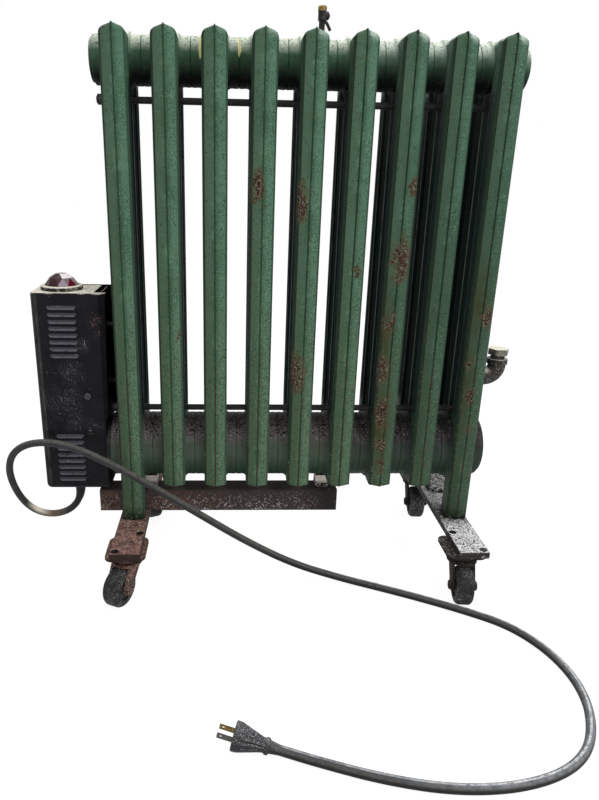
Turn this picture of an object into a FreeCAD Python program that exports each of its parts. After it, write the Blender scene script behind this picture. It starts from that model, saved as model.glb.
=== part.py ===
"""Electric steam radiator on casters, in millimetres.

X runs along the row of sections, Y from front to back, Z up.
The origin is on the floor, under the middle of the fifth section.
"""
import FreeCAD, Part
import math
import os

V = FreeCAD.Vector
X_AXIS = V(1, 0, 0)
Y_AXIS = V(0, 1, 0)
Z_AXIS = V(0, 0, 1)

# Fits
SLIDE_FIT = 0.05
RUN_FIT = 0.08
FACE_GAP = 0.3
HOLE_FIT = 0.25

# How near an edge lies to the place it is looked for at
NEAR = 0.01

# Casters
CASTER_HEIGHT = 76.4
CASTER_INSET = 28.0
CASTER_SHIFTS = {"left": -1.0, "right": -8.0}
CASTER_TRAIL = 22.0
CASTER_HEADINGS = {"front_left": 26.0, "front_right": 6.0, "rear_left": -25.0, "rear_right": 4.0}
WHEEL_RADIUS = 28.0
WHEEL_WIDTH = 24.0
WHEEL_SHOULDER = 6.0
WHEEL_RECESS_RADIUS = 17.0
WHEEL_RECESS = 2.5
WHEEL_SIDE_GAP = 1.0
AXLE_RADIUS = 4.0
AXLE_HEAD_RADIUS = 7.0
AXLE_HEAD = 4.0
AXLE_HEAD_EDGE = 1.8
FORK_SHEET = 3.5
FORK_CROWN_RADIUS = 22.0
FORK_BOSS_RADIUS = 9.0
RACE_RADIUS = 22.0
RACE_FOOT_RADIUS = 16.0
RACE_DEPTH = 10.0
KING_PIN_RADIUS = 5.0
KING_PIN_HEAD_RADIUS = 8.0
KING_PIN_HEAD = 2.5
PLATE_X = 58.0
PLATE_Y = 65.0
PLATE_INSET = 1.5
PLATE_SHEET = 3.5
PLATE_CORNER = 12.0
CASTER_BOLT_RADIUS = 3.0
CASTER_BOLT_HEAD_RADIUS = 5.5
CASTER_BOLT_X = 14.5
CASTER_BOLT_Y = 25.5
CASTER_NUT_FLATS = 10.0
CASTER_NUT = 5.0
CASTER_BOLT_TAIL = 1.0

# Foot bars
BAR_WIDTH = 43.0
BAR_LENGTH = 324.0
BAR_SHEET = 10.0
BAR_SHIFTS = {"left": 0.0, "right": -4.0}
LEG_BOLT_RADIUS = 5.0
LEG_BOLT_FLATS = 16.0
LEG_BOLT_HEAD = 6.5
LEG_BOLT_REACH = 24.0

# Cast sections
SECTIONS = 9
PITCH = 63.5
TUBE_WIDTH = 33.5
TUBE_DEPTH = 32.0
TUBE_GAP = 14.5
TUBE_CHAMFER = 4.5
RIDGE_HALF = 13.8
RIDGE_DEPTH = 2.87
EDGE_CHAMFER = 3.0
COLUMN_HEIGHT = 630.0
LEG_HEIGHT = 55.6
SHOULDER_DROP = 9.5
SHOULDER_ROUND = 6.0
FOOT_ROUND = 3.0
TOP_CORNER = 9.0
BOTTOM_CORNER = 5.0
CAST_WALL = 4.5
UPPER_BARREL_RADIUS = 31.0
LOWER_BARREL_RADIUS = 49.5
UPPER_AXIS_DROP = 35.0
SEAM_BEVEL = 1.5

# Push nipples and end plugs
UPPER_NIPPLE_RADIUS = 23.0
LOWER_NIPPLE_RADIUS = 41.0
NIPPLE_WALL = 2.5
NIPPLE_LENGTH = 24.0
PLUG_HEAD = 4.0
PLUG_HEAD_EDGE = 2.4
PLUG_LIP = 5.0
PLUG_SQUARE = 16.0
PLUG_SQUARE_DEPTH = 9.0

# Tie rods
ROD_RADIUS = 4.5
UPPER_ROD_DROP = 50.0
LOWER_ROD_RISE = 68.0
ROD_STICKOUT = 1.5
ROD_WASHER_RADIUS = 17.0
ROD_WASHER = 3.0
ROD_NUT_FLATS = 13.0
ROD_NUT = 7.0

# Fill fitting on the right end
FILL_RISE = 113.5
PIPE_RADIUS = 10.5
PIPE_BORE = 7.5
PIPE_SCREWED = 9.0
FILL_REACH = 39.5
ELBOW_BEND = 18.5
ELBOW_RADIUS = 13.5
ELBOW_INLET = 8.0
ELBOW_BEAD_RADIUS = 15.5
ELBOW_BEAD = 8.0
ELBOW_RISE = 29.0
FILL_PLUG_SCREWED = 9.0
FILL_PLUG_NECK = 6.5
FILL_PLUG_FLATS = 28.0
FILL_PLUG_CORNERS = 15.5
FILL_PLUG_HEAD = 9.5

# Air cock on the top of one section
COCK_SECTION = 5
COCK_X = 13.0
COCK_BOSS_RADIUS = 6.5
COCK_BOSS_DROP = 4.0
COCK_STEM_RADIUS = 4.5
COCK_STEM_SCREWED = 14.0
COCK_HEX_FLATS = 7.0
COCK_HEX = 22.0
COCK_BODY_RADIUS = 5.5
COCK_BODY = 11.0
COCK_SEAT_RADIUS = 4.5
COCK_SEAT = 0.5
COCK_CAP_RADIUS = 5.8
COCK_CAP = 6.3
COCK_CAP_EDGE = 2.1
COCK_KEY_RISE = 27.5
COCK_KEY_SHAFT_RADIUS = 2.4
COCK_KEY_SHAFT_SUNK = 3.5
COCK_KEY_RADIUS = 4.5
COCK_KEY = 1.2
COCK_KEY_WING_RADIUS = 6.0
COCK_KEY_WING_OUT = 10.0
COCK_KEY_WING_Y = 2.75
COCK_SPOUT_RADIUS = 2.0
COCK_SPOUT_RISE = 20.5
COCK_SPOUT_RUN = 5.7
COCK_SPOUT_FALL = 10.0

# Immersion heater in the lower header
HEATER_FLANGE_RADIUS = 46.0
HEATER_FLANGE = 6.0
HEATER_NECK_RADIUS = 17.0
HEATER_NECK = 14.0
HEATER_NUT_FLATS = 46.0
HEATER_NUT = 6.0
HEATER_ROD_RADIUS = 4.0
HEATER_ROD_SPREAD = 13.0
HEATER_ROD_LENGTH = 470.0
HEATER_SCREWED = 12.0
TERMINAL_RADIUS = 2.0
TERMINAL = 10.0
TERMINAL_SPREAD = 7.8

# Rail under the lower header
RAIL_LEFT = -310.0
RAIL_LENGTH = 377.0
RAIL_LEG_GAP = 0.5
RAIL_TOP_WIDTH = 36.0
RAIL_HEIGHT = 35.6
RAIL_SHEET = 3.0
BLOCK_PLACES = (-230.0, 43.0)
BLOCK_X = 20.0
BLOCK_Y = 24.0
RAIL_BOLT_RADIUS = 3.0
RAIL_BOLT_FLATS = 10.0
RAIL_BOLT_HEAD = 4.0
RAIL_BOLT_SCREWED = 5.0

# Control box
BOX_WIDTH = 98.0
BOX_DEPTH = 77.0
BOX_HEIGHT = 305.5
BOX_BOTTOM = 128.5
BOX_SHEET = 1.5
BOX_CORNER = 8.0
BOX_TOP_OPEN = 9.0
BOX_TOP_FLANGE = 8.0
BACK_STEP = 1.0
WING_RISE = 116.5
WING_FOOT = 3.5
WING_OUT = 8.0
TOP_STRIP = 9.0
STUD_RADIUS = 4.0
STUD_RISES = (252.5, 166.5)
STUD_SCREWED = 4.0
STUD_TAIL = 2.0
STUD_NUT_FLATS = 13.0
STUD_NUT = 5.0
CHASSIS_FLANGE = 30.0
CHASSIS_CLEAR = 0.2
LOUVRES = 8
LOUVRE_LENGTH = 42.0
LOUVRE_TAPER = 3.5
LOUVRE_PITCH = 10.1
LOUVRE_HEIGHT = 7.0
LOUVRE_OUT = 3.0
LOUVRE_LIP = 2.4
LOUVRE_WALL = 1.0
LOUVRE_INSET = 23.0
LOUVRE_LOWER_SHIFT = -1.0
UPPER_LOUVRE_DROP = 19.7
LOWER_LOUVRE_RISE = 19.0
COVER_SCREW_INSET = 25.0
COVER_SCREW_RISES = (152.0, 93.5)
COVER_SCREW_RADIUS = 2.0
COVER_SCREW_HEAD_RADIUS = 5.0
COVER_SCREW_HEAD = 2.2
COVER_SCREW_EDGE = 1.3
COVER_SCREW_LENGTH = 7.0
SCREW_SLOT = 0.9

# Pilot light on the box top
LAMP_INSET = 38.0
BEZEL_RADIUS = 30.0
BEZEL_HEIGHT = 6.5
BEZEL_EDGE = 2.6
BEZEL_SEAT = 3.5
BEZEL_BORE = 18.0
BEZEL_NECK_RADIUS = 21.0
BEZEL_NECK = 10.0
JEWEL_RADIUS = 24.0
JEWEL_HEIGHT = 20.0
JEWEL_SIDES = 10
JEWEL_ROWS = ((1.0, 0.0), (0.98, 0.22), (0.72, 0.68), (0.34, 0.95))
HOLDER_RADIUS = 13.0
HOLDER_WALL = 1.5
HOLDER_LENGTH = 34.0
BULB_RADIUS = 8.0
BULB_LENGTH = 20.0
HOLDER_ARM = 12.0

# Switchgear inside the box
SWITCH_X = 56.0
SWITCH_Y = 34.0
SWITCH_Z = 70.0
SWITCH_RISE = 153.5
BELLOWS_RADIUS = 15.0
BELLOWS_WAIST_RADIUS = 12.0
BELLOWS_RIBS = 4
BELLOWS_PITCH = 4.0
TERMINALS_X = 50.0
TERMINALS_Y = 18.0
TERMINALS_Z = 24.0
TERMINALS_RISE = 35.5
TERMINAL_WAYS = 4
TERMINAL_GROOVE = 2.0
TERMINAL_GROOVE_DEPTH = 9.0
CAPILLARY_RADIUS = 1.5
CAPILLARY_RISE = 10.0
CAPILLARY_DROP = 41.0
CAPILLARY_RUN = 20.0
CAPILLARY_BEND = 8.0

# Power cord and plug
CORD_RADIUS = 5.5
GLAND_INSET = 43.75
GLAND_RADIUS = 9.0
GLAND_TIP_RADIUS = 7.0
GLAND_FLANGE_RADIUS = 13.0
GLAND_FLANGE = 4.0
GLAND_LENGTH = 11.0
GLAND_NUT = 4.0
CORD_ROUTE = (
    (-346, 0, 117.5), (-346, 0, 104), (-353, 0, 86), (-366, -1, 73), (-386, -2, 66), (-406, -4, 68),
    (-424, -8, 79), (-437.5, -14, 99), (-446.5, -21, 128), (-447.5, -30, 159), (-437, -40, 187.5),
    (-415, -50, 207), (-383, -60, 216.5), (-343, -68, 214), (-292, -75, 193.5), (-228, -82, 158.5),
    (-155, -87, 112.5), (-82, -90, 66), (-8, -94, 27.5), (66, -106, 9), (132, -132, 5.8), (190, -161.5, 5.8),
    (246, -193.5, 5.8), (285, -221, 5.8), (313, -262, 5.8), (328, -312, 5.8), (326, -362, 5.8),
    (309, -408, 5.8), (283, -444, 5.8), (243, -469, 5.8), (186, -483, 5.8), (122, -483, 5.8),
    (56, -469, 5.8), (-4, -448, 5.8), (-43, -432.5, 5.8), (-62, -428, 9.5),
)
CORD_ARC_SHARE = 0.45
PLUG_HEADING = (-19.0, 4.5, 3.7)
PLUG_LENGTH = 36.0
PLUG_NECK_RADIUS = 8.0
PLUG_FACE_RADIUS = 16.0
PLUG_RIM = 4.0
PLUG_RIBS = 12
PLUG_RIB_RADIUS = 1.2
COLLAR_RADIUS = 9.0
COLLAR_LENGTH = 5.0
BLADE_SPACING = 12.7
BLADE_WIDTH = 6.35
BLADE_SHEET = 1.5
BLADE_LENGTH = 17.5
BLADE_ROOT = 6.0
BLADE_HOLE_RADIUS = 1.5
BLADE_HOLE_OUT = 13.1

# Places worked out from the sizes above
BAR_BOTTOM = CASTER_HEIGHT
BAR_TOP = BAR_BOTTOM + BAR_SHEET
COLUMN_BOTTOM = BAR_TOP + LEG_HEIGHT
COLUMN_TOP = COLUMN_BOTTOM + COLUMN_HEIGHT
DEPTH = 3 * TUBE_DEPTH + 2 * TUBE_GAP
SLOT_Y = (TUBE_DEPTH + TUBE_GAP) / 2
OUTER_TUBE_Y = TUBE_DEPTH + TUBE_GAP
UPPER_AXIS = COLUMN_TOP - UPPER_AXIS_DROP
LOWER_AXIS = COLUMN_BOTTOM + LOWER_BARREL_RADIUS
UPPER_ROD_Z = UPPER_AXIS - UPPER_ROD_DROP
LOWER_ROD_Z = LOWER_AXIS + LOWER_ROD_RISE
END_X = (SECTIONS - 1) / 2 * PITCH
HUB_FACE_X = END_X + PITCH / 2
END_SIDE_X = END_X + TUBE_WIDTH / 2
FILL_Z = LOWER_AXIS + FILL_RISE
FILL_X = END_SIDE_X + FILL_REACH
BOX_RIGHT = -(HUB_FACE_X + HEATER_FLANGE)
BOX_LEFT = BOX_RIGHT - BOX_WIDTH
BOX_TOP = BOX_BOTTOM + BOX_HEIGHT
BOX_FRONT = -BOX_DEPTH / 2
BOX_BACK = BOX_DEPTH / 2
LAMP_X = BOX_LEFT + LAMP_INSET
GLAND_X = BOX_LEFT + GLAND_INSET
RAIL_BOTTOM = BAR_TOP
RAIL_FRONT_Y = -DEPTH / 2 + TUBE_DEPTH + RAIL_LEG_GAP
RAIL_TOP = RAIL_BOTTOM + RAIL_HEIGHT
COCK_CENTRE_X = (COCK_SECTION - (SECTIONS + 1) / 2) * PITCH + COCK_X
COCK_BASE = COLUMN_TOP - COCK_BOSS_DROP
BOLT_SINK = CASTER_BOLT_HEAD_RADIUS - CASTER_BOLT_RADIUS


def block(x0, x1, y0, y1, z0, z1):
    return Part.makeBox(x1 - x0, y1 - y0, z1 - z0, V(x0, y0, z0))


def rod(start, axis, radius, length):
    return Part.makeCylinder(radius, length, start, axis)


def ring(start, axis, outer, inner, length):
    return rod(start, axis, outer, length).cut(rod(start, axis, inner, length))


def prism(points, direction):
    wire = Part.makePolygon(list(points) + [points[0]])
    return Part.Face(wire).extrude(direction)


def hexagon(start, axis, flats, length):
    """Hexagonal bar from start along one of the main axes."""
    side = X_AXIS if abs(axis.x) < 0.5 else Y_AXIS
    corner = flats / math.sqrt(3)
    turn = FreeCAD.Rotation(axis, 60)
    arm = side * corner
    points = []
    for _ in range(6):
        points.append(start + arm)
        arm = turn.multVec(arm)
    return prism(points, axis * length)


def united(shapes):
    first, rest = shapes[0], shapes[1:]
    return first.multiFuse(rest).removeSplitter() if rest else first


def save(name, *solids):
    shape = solids[0] if len(solids) == 1 else Part.makeCompound(list(solids))
    if not shape.isValid():
        raise ValueError("invalid shape: " + name)
    if shape.ShapeType == "Compound" and len(shape.Solids) == 1:
        shape = shape.Solids[0]
    shape.exportStep("parts/" + name + ".step")
    print(name, len(shape.Solids), round(shape.Volume / 1000, 2), "cm3")


def plan_outline(z):
    """Section seen from above: a shallow ridge at the front and rear, small edge chamfers."""
    front = -DEPTH / 2
    facet_end = V(RIDGE_HALF, front + RIDGE_DEPTH, z)
    side_start = V(TUBE_WIDTH / 2, front + RIDGE_DEPTH + EDGE_CHAMFER, z)
    corners = [facet_end, side_start, V(side_start.x, -side_start.y, z), V(facet_end.x, -facet_end.y, z)]
    mirrored = [V(-p.x, p.y, z) for p in reversed(corners)]
    return [V(0, front, z)] + corners + [V(0, -front, z)] + mirrored


def gable_body():
    """Outline from the front: straight sides under a pointed top, rounded shoulders and lower corners."""
    half = TUBE_WIDTH / 2
    shoulder_z = COLUMN_TOP - SHOULDER_DROP
    outline = ((-half, COLUMN_BOTTOM), (half, COLUMN_BOTTOM), (half, shoulder_z), (0, COLUMN_TOP),
               (-half, shoulder_z))
    body = prism([V(x, -DEPTH, z) for x, z in outline], V(0, 2 * DEPTH, 0))
    side_edges = [e for e in body.Edges if abs(abs(e.CenterOfMass.x) - half) < NEAR
                  and abs(e.CenterOfMass.y) < NEAR]
    shoulders = [e for e in side_edges if e.CenterOfMass.z > UPPER_AXIS]
    feet = [e for e in side_edges if e.CenterOfMass.z < LOWER_AXIS]
    return body.makeFillet(SHOULDER_ROUND, shoulders).makeFillet(FOOT_ROUND, feet)


def side_body():
    """Outline from the side: a slab with rounded corners."""
    slab = block(-TUBE_WIDTH, TUBE_WIDTH, -DEPTH / 2, DEPTH / 2, COLUMN_BOTTOM, COLUMN_TOP)
    long_edges = [e for e in slab.Edges if abs(e.tangentAt(e.FirstParameter).x) > 0.9]
    tops = [e for e in long_edges if e.CenterOfMass.z > COLUMN_TOP - NEAR]
    bottoms = [e for e in long_edges if e.CenterOfMass.z < COLUMN_BOTTOM + NEAR]
    return slab.makeFillet(TOP_CORNER, tops).makeFillet(BOTTOM_CORNER, bottoms)


def slot_cutter(y):
    """Air gap between two tubes, flared so that the tubes' inner corners are chamfered."""
    half = TUBE_WIDTH / 2
    narrow = TUBE_GAP / 2
    wide = narrow + TUBE_CHAMFER
    waist = half - TUBE_CHAMFER
    right = [V(waist, -narrow, 0), V(half, -wide, 0), V(half, wide, 0), V(waist, narrow, 0)]
    left = [V(-p.x, -p.y, 0) for p in right]
    place = V(0, y, LOWER_AXIS)
    return prism([p + place for p in right + left], V(0, 0, UPPER_AXIS - LOWER_AXIS))


def barrel(axis_z, radius):
    body = rod(V(-PITCH / 2, 0, axis_z), X_AXIS, radius, PITCH)
    rims = [e for e in body.Edges if e.Curve.TypeId == "Part::GeomCircle"]
    return body.makeChamfer(SEAM_BEVEL, rims)


def leg(y_side):
    """Outer tube carried down to the foot bar."""
    keep_from = -DEPTH / 2 if y_side < 0 else DEPTH / 2 - TUBE_DEPTH
    window = block(-TUBE_WIDTH, TUBE_WIDTH, keep_from, keep_from + TUBE_DEPTH, BAR_TOP, LOWER_AXIS)
    return prism(plan_outline(BAR_TOP), V(0, 0, LOWER_AXIS - BAR_TOP)).common(window)


def waterways():
    """Hollow of one section: three tubes, a chamber in each header and the nipple seats."""
    inner = TUBE_WIDTH / 2 - CAST_WALL
    tube_half = TUBE_DEPTH / 2 - CAST_WALL
    reach = DEPTH / 2 - CAST_WALL - RIDGE_DEPTH - EDGE_CHAMFER
    upper_half = UPPER_NIPPLE_RADIUS - NIPPLE_WALL
    lower_half = LOWER_NIPPLE_RADIUS - NIPPLE_WALL
    cuts = []
    for y in (-OUTER_TUBE_Y, 0, OUTER_TUBE_Y):
        y0 = max(y - tube_half, -reach)
        y1 = min(y + tube_half, reach)
        cuts.append(block(-inner, inner, y0, y1, LOWER_AXIS, UPPER_AXIS))
    for axis_z, half in ((UPPER_AXIS, upper_half), (LOWER_AXIS, lower_half)):
        chamber = min(half, UPPER_AXIS_DROP - SHOULDER_DROP - CAST_WALL)
        cuts.append(block(-inner, inner, -reach, reach, axis_z - chamber, axis_z + chamber))
        cuts.append(rod(V(-PITCH / 2, 0, axis_z), X_AXIS, half, PITCH))
    for axis_z, radius in ((UPPER_AXIS, UPPER_NIPPLE_RADIUS), (LOWER_AXIS, LOWER_NIPPLE_RADIUS)):
        depth = NIPPLE_LENGTH / 2 + SLIDE_FIT
        for x in (-PITCH / 2, PITCH / 2 - depth):
            cuts.append(rod(V(x, 0, axis_z), X_AXIS, radius + SLIDE_FIT, depth))
    return united(cuts)


def plain_section():
    slab = prism(plan_outline(COLUMN_BOTTOM), V(0, 0, COLUMN_HEIGHT))
    slab = slab.common(gable_body()).common(side_body())
    slab = slab.cut(slot_cutter(-SLOT_Y)).cut(slot_cutter(SLOT_Y))
    return [slab, barrel(UPPER_AXIS, UPPER_BARREL_RADIUS), barrel(LOWER_AXIS, LOWER_BARREL_RADIUS)]


def section_centre(number):
    return (number - (SECTIONS + 1) / 2) * PITCH


def section_holes(number):
    """Tapped holes of one section, in its own frame."""
    x = section_centre(number)
    holes = []
    for place in BLOCK_PLACES:
        if abs(place - x) < PITCH / 2:
            start = V(place - x, 0, COLUMN_BOTTOM - BOTTOM_CORNER)
            reach = BOTTOM_CORNER + RAIL_BOLT_SCREWED
            holes.append(rod(start, Z_AXIS, RAIL_BOLT_RADIUS + SLIDE_FIT, reach))
    if number == COCK_SECTION:
        start = V(COCK_X, 0, COCK_BASE - COCK_STEM_SCREWED)
        holes.append(rod(start, Z_AXIS, COCK_STEM_RADIUS + SLIDE_FIT, 2 * COCK_STEM_SCREWED))
    if number == SECTIONS:
        start = V(TUBE_WIDTH / 2 - PIPE_SCREWED, 0, FILL_Z)
        holes.append(rod(start, X_AXIS, PIPE_RADIUS + SLIDE_FIT, 2 * PIPE_SCREWED))
    if number == 1:
        for p in stud_places():
            holes.append(rod(V(-TUBE_WIDTH / 2, p.y, p.z), X_AXIS, STUD_RADIUS + SLIDE_FIT, STUD_SCREWED))
    if number in (1, SECTIONS):
        for y in (-OUTER_TUBE_Y, OUTER_TUBE_Y):
            start = V(0, y, BAR_TOP)
            holes.append(rod(start, Z_AXIS, LEG_BOLT_RADIUS + SLIDE_FIT, LEG_BOLT_REACH))
    return holes


def fill_boss():
    """Round boss that the fill pipe screws into, on the end section's middle tube."""
    start = V(TUBE_WIDTH / 2 - PIPE_SCREWED, 0, FILL_Z)
    return rod(start, X_AXIS, PIPE_RADIUS + CAST_WALL, PIPE_SCREWED)


def cock_boss():
    start = V(COCK_X, 0, UPPER_AXIS)
    return rod(start, Z_AXIS, COCK_BOSS_RADIUS, COCK_BASE - UPPER_AXIS)


def make_sections():
    solid = plain_section()
    hollow = waterways()
    plain = united(solid).cut(hollow)
    for number in range(1, SECTIONS + 1):
        shape = plain.copy()
        if number in (1, SECTIONS):
            shape = united([shape, leg(-1), leg(1)]).cut(hollow)
        if number == COCK_SECTION:
            boss = cock_boss().cut(hollow)
            shape = united([shape, boss])
        if number == SECTIONS:
            shape = united([shape, fill_boss()])
        for hole in section_holes(number):
            shape = shape.cut(hole)
        shape.translate(V(section_centre(number), 0, 0))
        save("section_%d" % number, shape)


def make_nipples():
    sizes = (("upper", UPPER_AXIS, UPPER_NIPPLE_RADIUS), ("lower", LOWER_AXIS, LOWER_NIPPLE_RADIUS))
    for name, axis_z, radius in sizes:
        rings = []
        for number in range(1, SECTIONS):
            x = section_centre(number) + PITCH / 2 - NIPPLE_LENGTH / 2
            rings.append(ring(V(x, 0, axis_z), X_AXIS, radius, radius - NIPPLE_WALL, NIPPLE_LENGTH))
        save(name + "_push_nipples", *rings)


def end_plug(side, axis_z, radius):
    """Plug screwed into a header's end, with a square hole for its key."""
    outward = V(side, 0, 0)
    face = V(side * HUB_FACE_X, 0, axis_z)
    body = rod(face, outward * -1, radius, NIPPLE_LENGTH / 2)
    head = rod(face, outward, radius + PLUG_LIP, PLUG_HEAD)
    rim = [e for e in head.Edges if abs(abs(e.CenterOfMass.x) - HUB_FACE_X - PLUG_HEAD) < NEAR]
    head = head.makeFillet(PLUG_HEAD_EDGE, rim)
    half = PLUG_SQUARE / 2
    x_end = face.x + side * PLUG_HEAD
    x_in = x_end - side * PLUG_SQUARE_DEPTH
    hole = block(min(x_in, x_end), max(x_in, x_end), -half, half, axis_z - half, axis_z + half)
    return united([body, head]).cut(hole)


def make_end_plugs():
    uppers = [end_plug(side, UPPER_AXIS, UPPER_NIPPLE_RADIUS) for side in (-1, 1)]
    save("upper_end_plugs", *uppers)
    save("lower_end_plug", end_plug(1, LOWER_AXIS, LOWER_NIPPLE_RADIUS))


def make_tie_rods():
    reach = END_SIDE_X + ROD_WASHER + ROD_NUT + ROD_STICKOUT
    fasteners = []
    for name, z in (("upper", UPPER_ROD_Z), ("lower", LOWER_ROD_Z)):
        save(name + "_tie_rod", rod(V(-reach, -SLOT_Y, z), X_AXIS, ROD_RADIUS, 2 * reach))
        for side in (-1, 1):
            out = V(side, 0, 0)
            seat = V(side * END_SIDE_X, -SLOT_Y, z)
            hole = rod(seat, out, ROD_RADIUS + SLIDE_FIT, ROD_WASHER + ROD_NUT)
            fasteners.append(rod(seat, out, ROD_WASHER_RADIUS, ROD_WASHER).cut(hole))
            fasteners.append(hexagon(seat + out * ROD_WASHER, out, ROD_NUT_FLATS, ROD_NUT).cut(hole))
    save("tie_rod_nuts", *fasteners)


def make_fill_fitting():
    start = V(END_SIDE_X - PIPE_SCREWED, 0, FILL_Z)
    bend_x = FILL_X - ELBOW_BEND
    inlet_x = bend_x - ELBOW_INLET
    pipe_length = bend_x - PIPE_RADIUS / 2 - start.x
    save("fill_nipple", ring(start, X_AXIS, PIPE_RADIUS, PIPE_BORE, pipe_length))

    mouth_z = FILL_Z + ELBOW_RISE
    bend_z = FILL_Z + ELBOW_BEND
    centre = V(bend_x, 0, bend_z)

    def bent_rod(radius):
        profile = Part.Face(Part.Wire(Part.makeCircle(radius, V(bend_x, 0, FILL_Z), X_AXIS)))
        return profile.revolve(centre, Y_AXIS * -1, 90)

    parts = [
        bent_rod(ELBOW_RADIUS),
        rod(V(inlet_x, 0, FILL_Z), X_AXIS, ELBOW_RADIUS, ELBOW_INLET),
        rod(V(FILL_X, 0, bend_z), Z_AXIS, ELBOW_RADIUS, mouth_z - bend_z),
        rod(V(FILL_X, 0, mouth_z - ELBOW_BEAD), Z_AXIS, ELBOW_BEAD_RADIUS, ELBOW_BEAD),
    ]
    socket = PIPE_RADIUS + SLIDE_FIT
    bores = [
        bent_rod(PIPE_BORE),
        rod(V(inlet_x, 0, FILL_Z), X_AXIS, PIPE_BORE, ELBOW_INLET),
        rod(V(inlet_x, 0, FILL_Z), X_AXIS, socket, start.x + pipe_length - inlet_x),
        rod(V(FILL_X, 0, bend_z), Z_AXIS, PIPE_BORE, mouth_z - bend_z),
        rod(V(FILL_X, 0, mouth_z - FILL_PLUG_SCREWED), Z_AXIS, socket, FILL_PLUG_SCREWED),
    ]
    save("fill_elbow", united(parts).cut(united(bores)))

    plug_base = V(FILL_X, 0, mouth_z - FILL_PLUG_SCREWED)
    head_base = V(FILL_X, 0, mouth_z + FILL_PLUG_NECK)
    shank = rod(plug_base, Z_AXIS, PIPE_RADIUS, FILL_PLUG_SCREWED + FILL_PLUG_NECK)
    head = hexagon(head_base, Z_AXIS, FILL_PLUG_FLATS, FILL_PLUG_HEAD)
    head = head.common(rod(head_base, Z_AXIS, FILL_PLUG_CORNERS, FILL_PLUG_HEAD))
    save("fill_plug", united([shank, head]))


def bent_tube(points, radius, corner):
    """Round bar along straight runs joined by tangent arcs; corner(i) gives each arc's radius."""
    edges, start = [], points[0]
    for i in range(1, len(points) - 1):
        before = (points[i - 1] - points[i]).normalize()
        after = (points[i + 1] - points[i]).normalize()
        half_turn = (math.pi - before.getAngle(after)) / 2
        bend = corner(i, half_turn)
        back = bend * math.tan(half_turn)
        first = points[i] + before * back
        last = points[i] + after * back
        middle = (before + after).normalize()
        mid = points[i] + middle * (bend / math.cos(half_turn) - bend)
        if (first - start).Length > NEAR:
            edges.append(Part.LineSegment(start, first).toShape())
        edges.append(Part.Arc(first, mid, last).toShape())
        start = last
    edges.append(Part.LineSegment(start, points[-1]).toShape())
    path = Part.Wire(edges)
    direction = points[1] - points[0]
    profile = Part.Wire(Part.makeCircle(radius, points[0], direction))
    return path, path.makePipeShell([profile], True, True)


def make_air_cock():
    x = COCK_CENTRE_X
    hex_top = COCK_BASE + COCK_HEX
    body_top = hex_top + COCK_BODY
    key_z = COCK_BASE + COCK_KEY_RISE
    spout_z = COCK_BASE + COCK_SPOUT_RISE
    spout_points = [
        V(x, 0, spout_z),
        V(x + COCK_SPOUT_RUN, 0, spout_z),
        V(x + COCK_SPOUT_RUN * 2, 0, spout_z - COCK_SPOUT_FALL),
    ]
    _, spout = bent_tube(spout_points, COCK_SPOUT_RADIUS, lambda i, half: 2 * COCK_SPOUT_RADIUS)
    stem_start = V(x, 0, COCK_BASE - COCK_STEM_SCREWED)
    body = united([
        rod(stem_start, Z_AXIS, COCK_STEM_RADIUS, COCK_STEM_SCREWED),
        hexagon(V(x, 0, COCK_BASE), Z_AXIS, COCK_HEX_FLATS, COCK_HEX),
        rod(V(x, 0, hex_top), Z_AXIS, COCK_BODY_RADIUS, COCK_BODY),
        rod(V(x, 0, key_z), X_AXIS, COCK_SEAT_RADIUS, COCK_BODY_RADIUS + COCK_SEAT),
        spout,
    ])
    face_x = x + COCK_BODY_RADIUS + COCK_SEAT
    key_bore = rod(V(face_x - COCK_KEY_SHAFT_SUNK - FACE_GAP, 0, key_z), X_AXIS,
                   COCK_KEY_SHAFT_RADIUS + RUN_FIT, 2 * COCK_BODY_RADIUS)
    save("air_cock_body", body.cut(key_bore))
    cap = rod(V(x, 0, body_top), Z_AXIS, COCK_CAP_RADIUS, COCK_CAP)
    top_rim = [e for e in cap.Edges if e.CenterOfMass.z > body_top + COCK_CAP - NEAR]
    cap = cap.makeFillet(COCK_CAP_EDGE, top_rim)
    slot = block(x - COCK_CAP_RADIUS, x + COCK_CAP_RADIUS, -SCREW_SLOT / 2, SCREW_SLOT / 2,
                 body_top + COCK_CAP - COCK_CAP_EDGE, body_top + COCK_CAP)
    save("air_cock_cap", cap.cut(slot))

    disc_x = face_x + FACE_GAP
    disc = rod(V(disc_x, 0, key_z), X_AXIS, COCK_KEY_RADIUS, COCK_KEY)
    shaft = rod(V(face_x - COCK_KEY_SHAFT_SUNK, 0, key_z), X_AXIS, COCK_KEY_SHAFT_RADIUS,
                COCK_KEY_SHAFT_SUNK + FACE_GAP)
    wing_centre = V(x + COCK_KEY_WING_OUT - COCK_KEY_WING_RADIUS, -COCK_KEY_WING_Y / 2, key_z)
    wing = rod(wing_centre, Y_AXIS, COCK_KEY_WING_RADIUS, COCK_KEY_WING_Y)
    wing = wing.cut(block(x - COCK_KEY_WING_OUT, disc_x, -COCK_KEY_WING_Y, COCK_KEY_WING_Y,
                          key_z - COCK_KEY_WING_OUT, key_z + COCK_KEY_WING_OUT))
    save("air_cock_key", united([disc, shaft, wing]))


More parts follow.
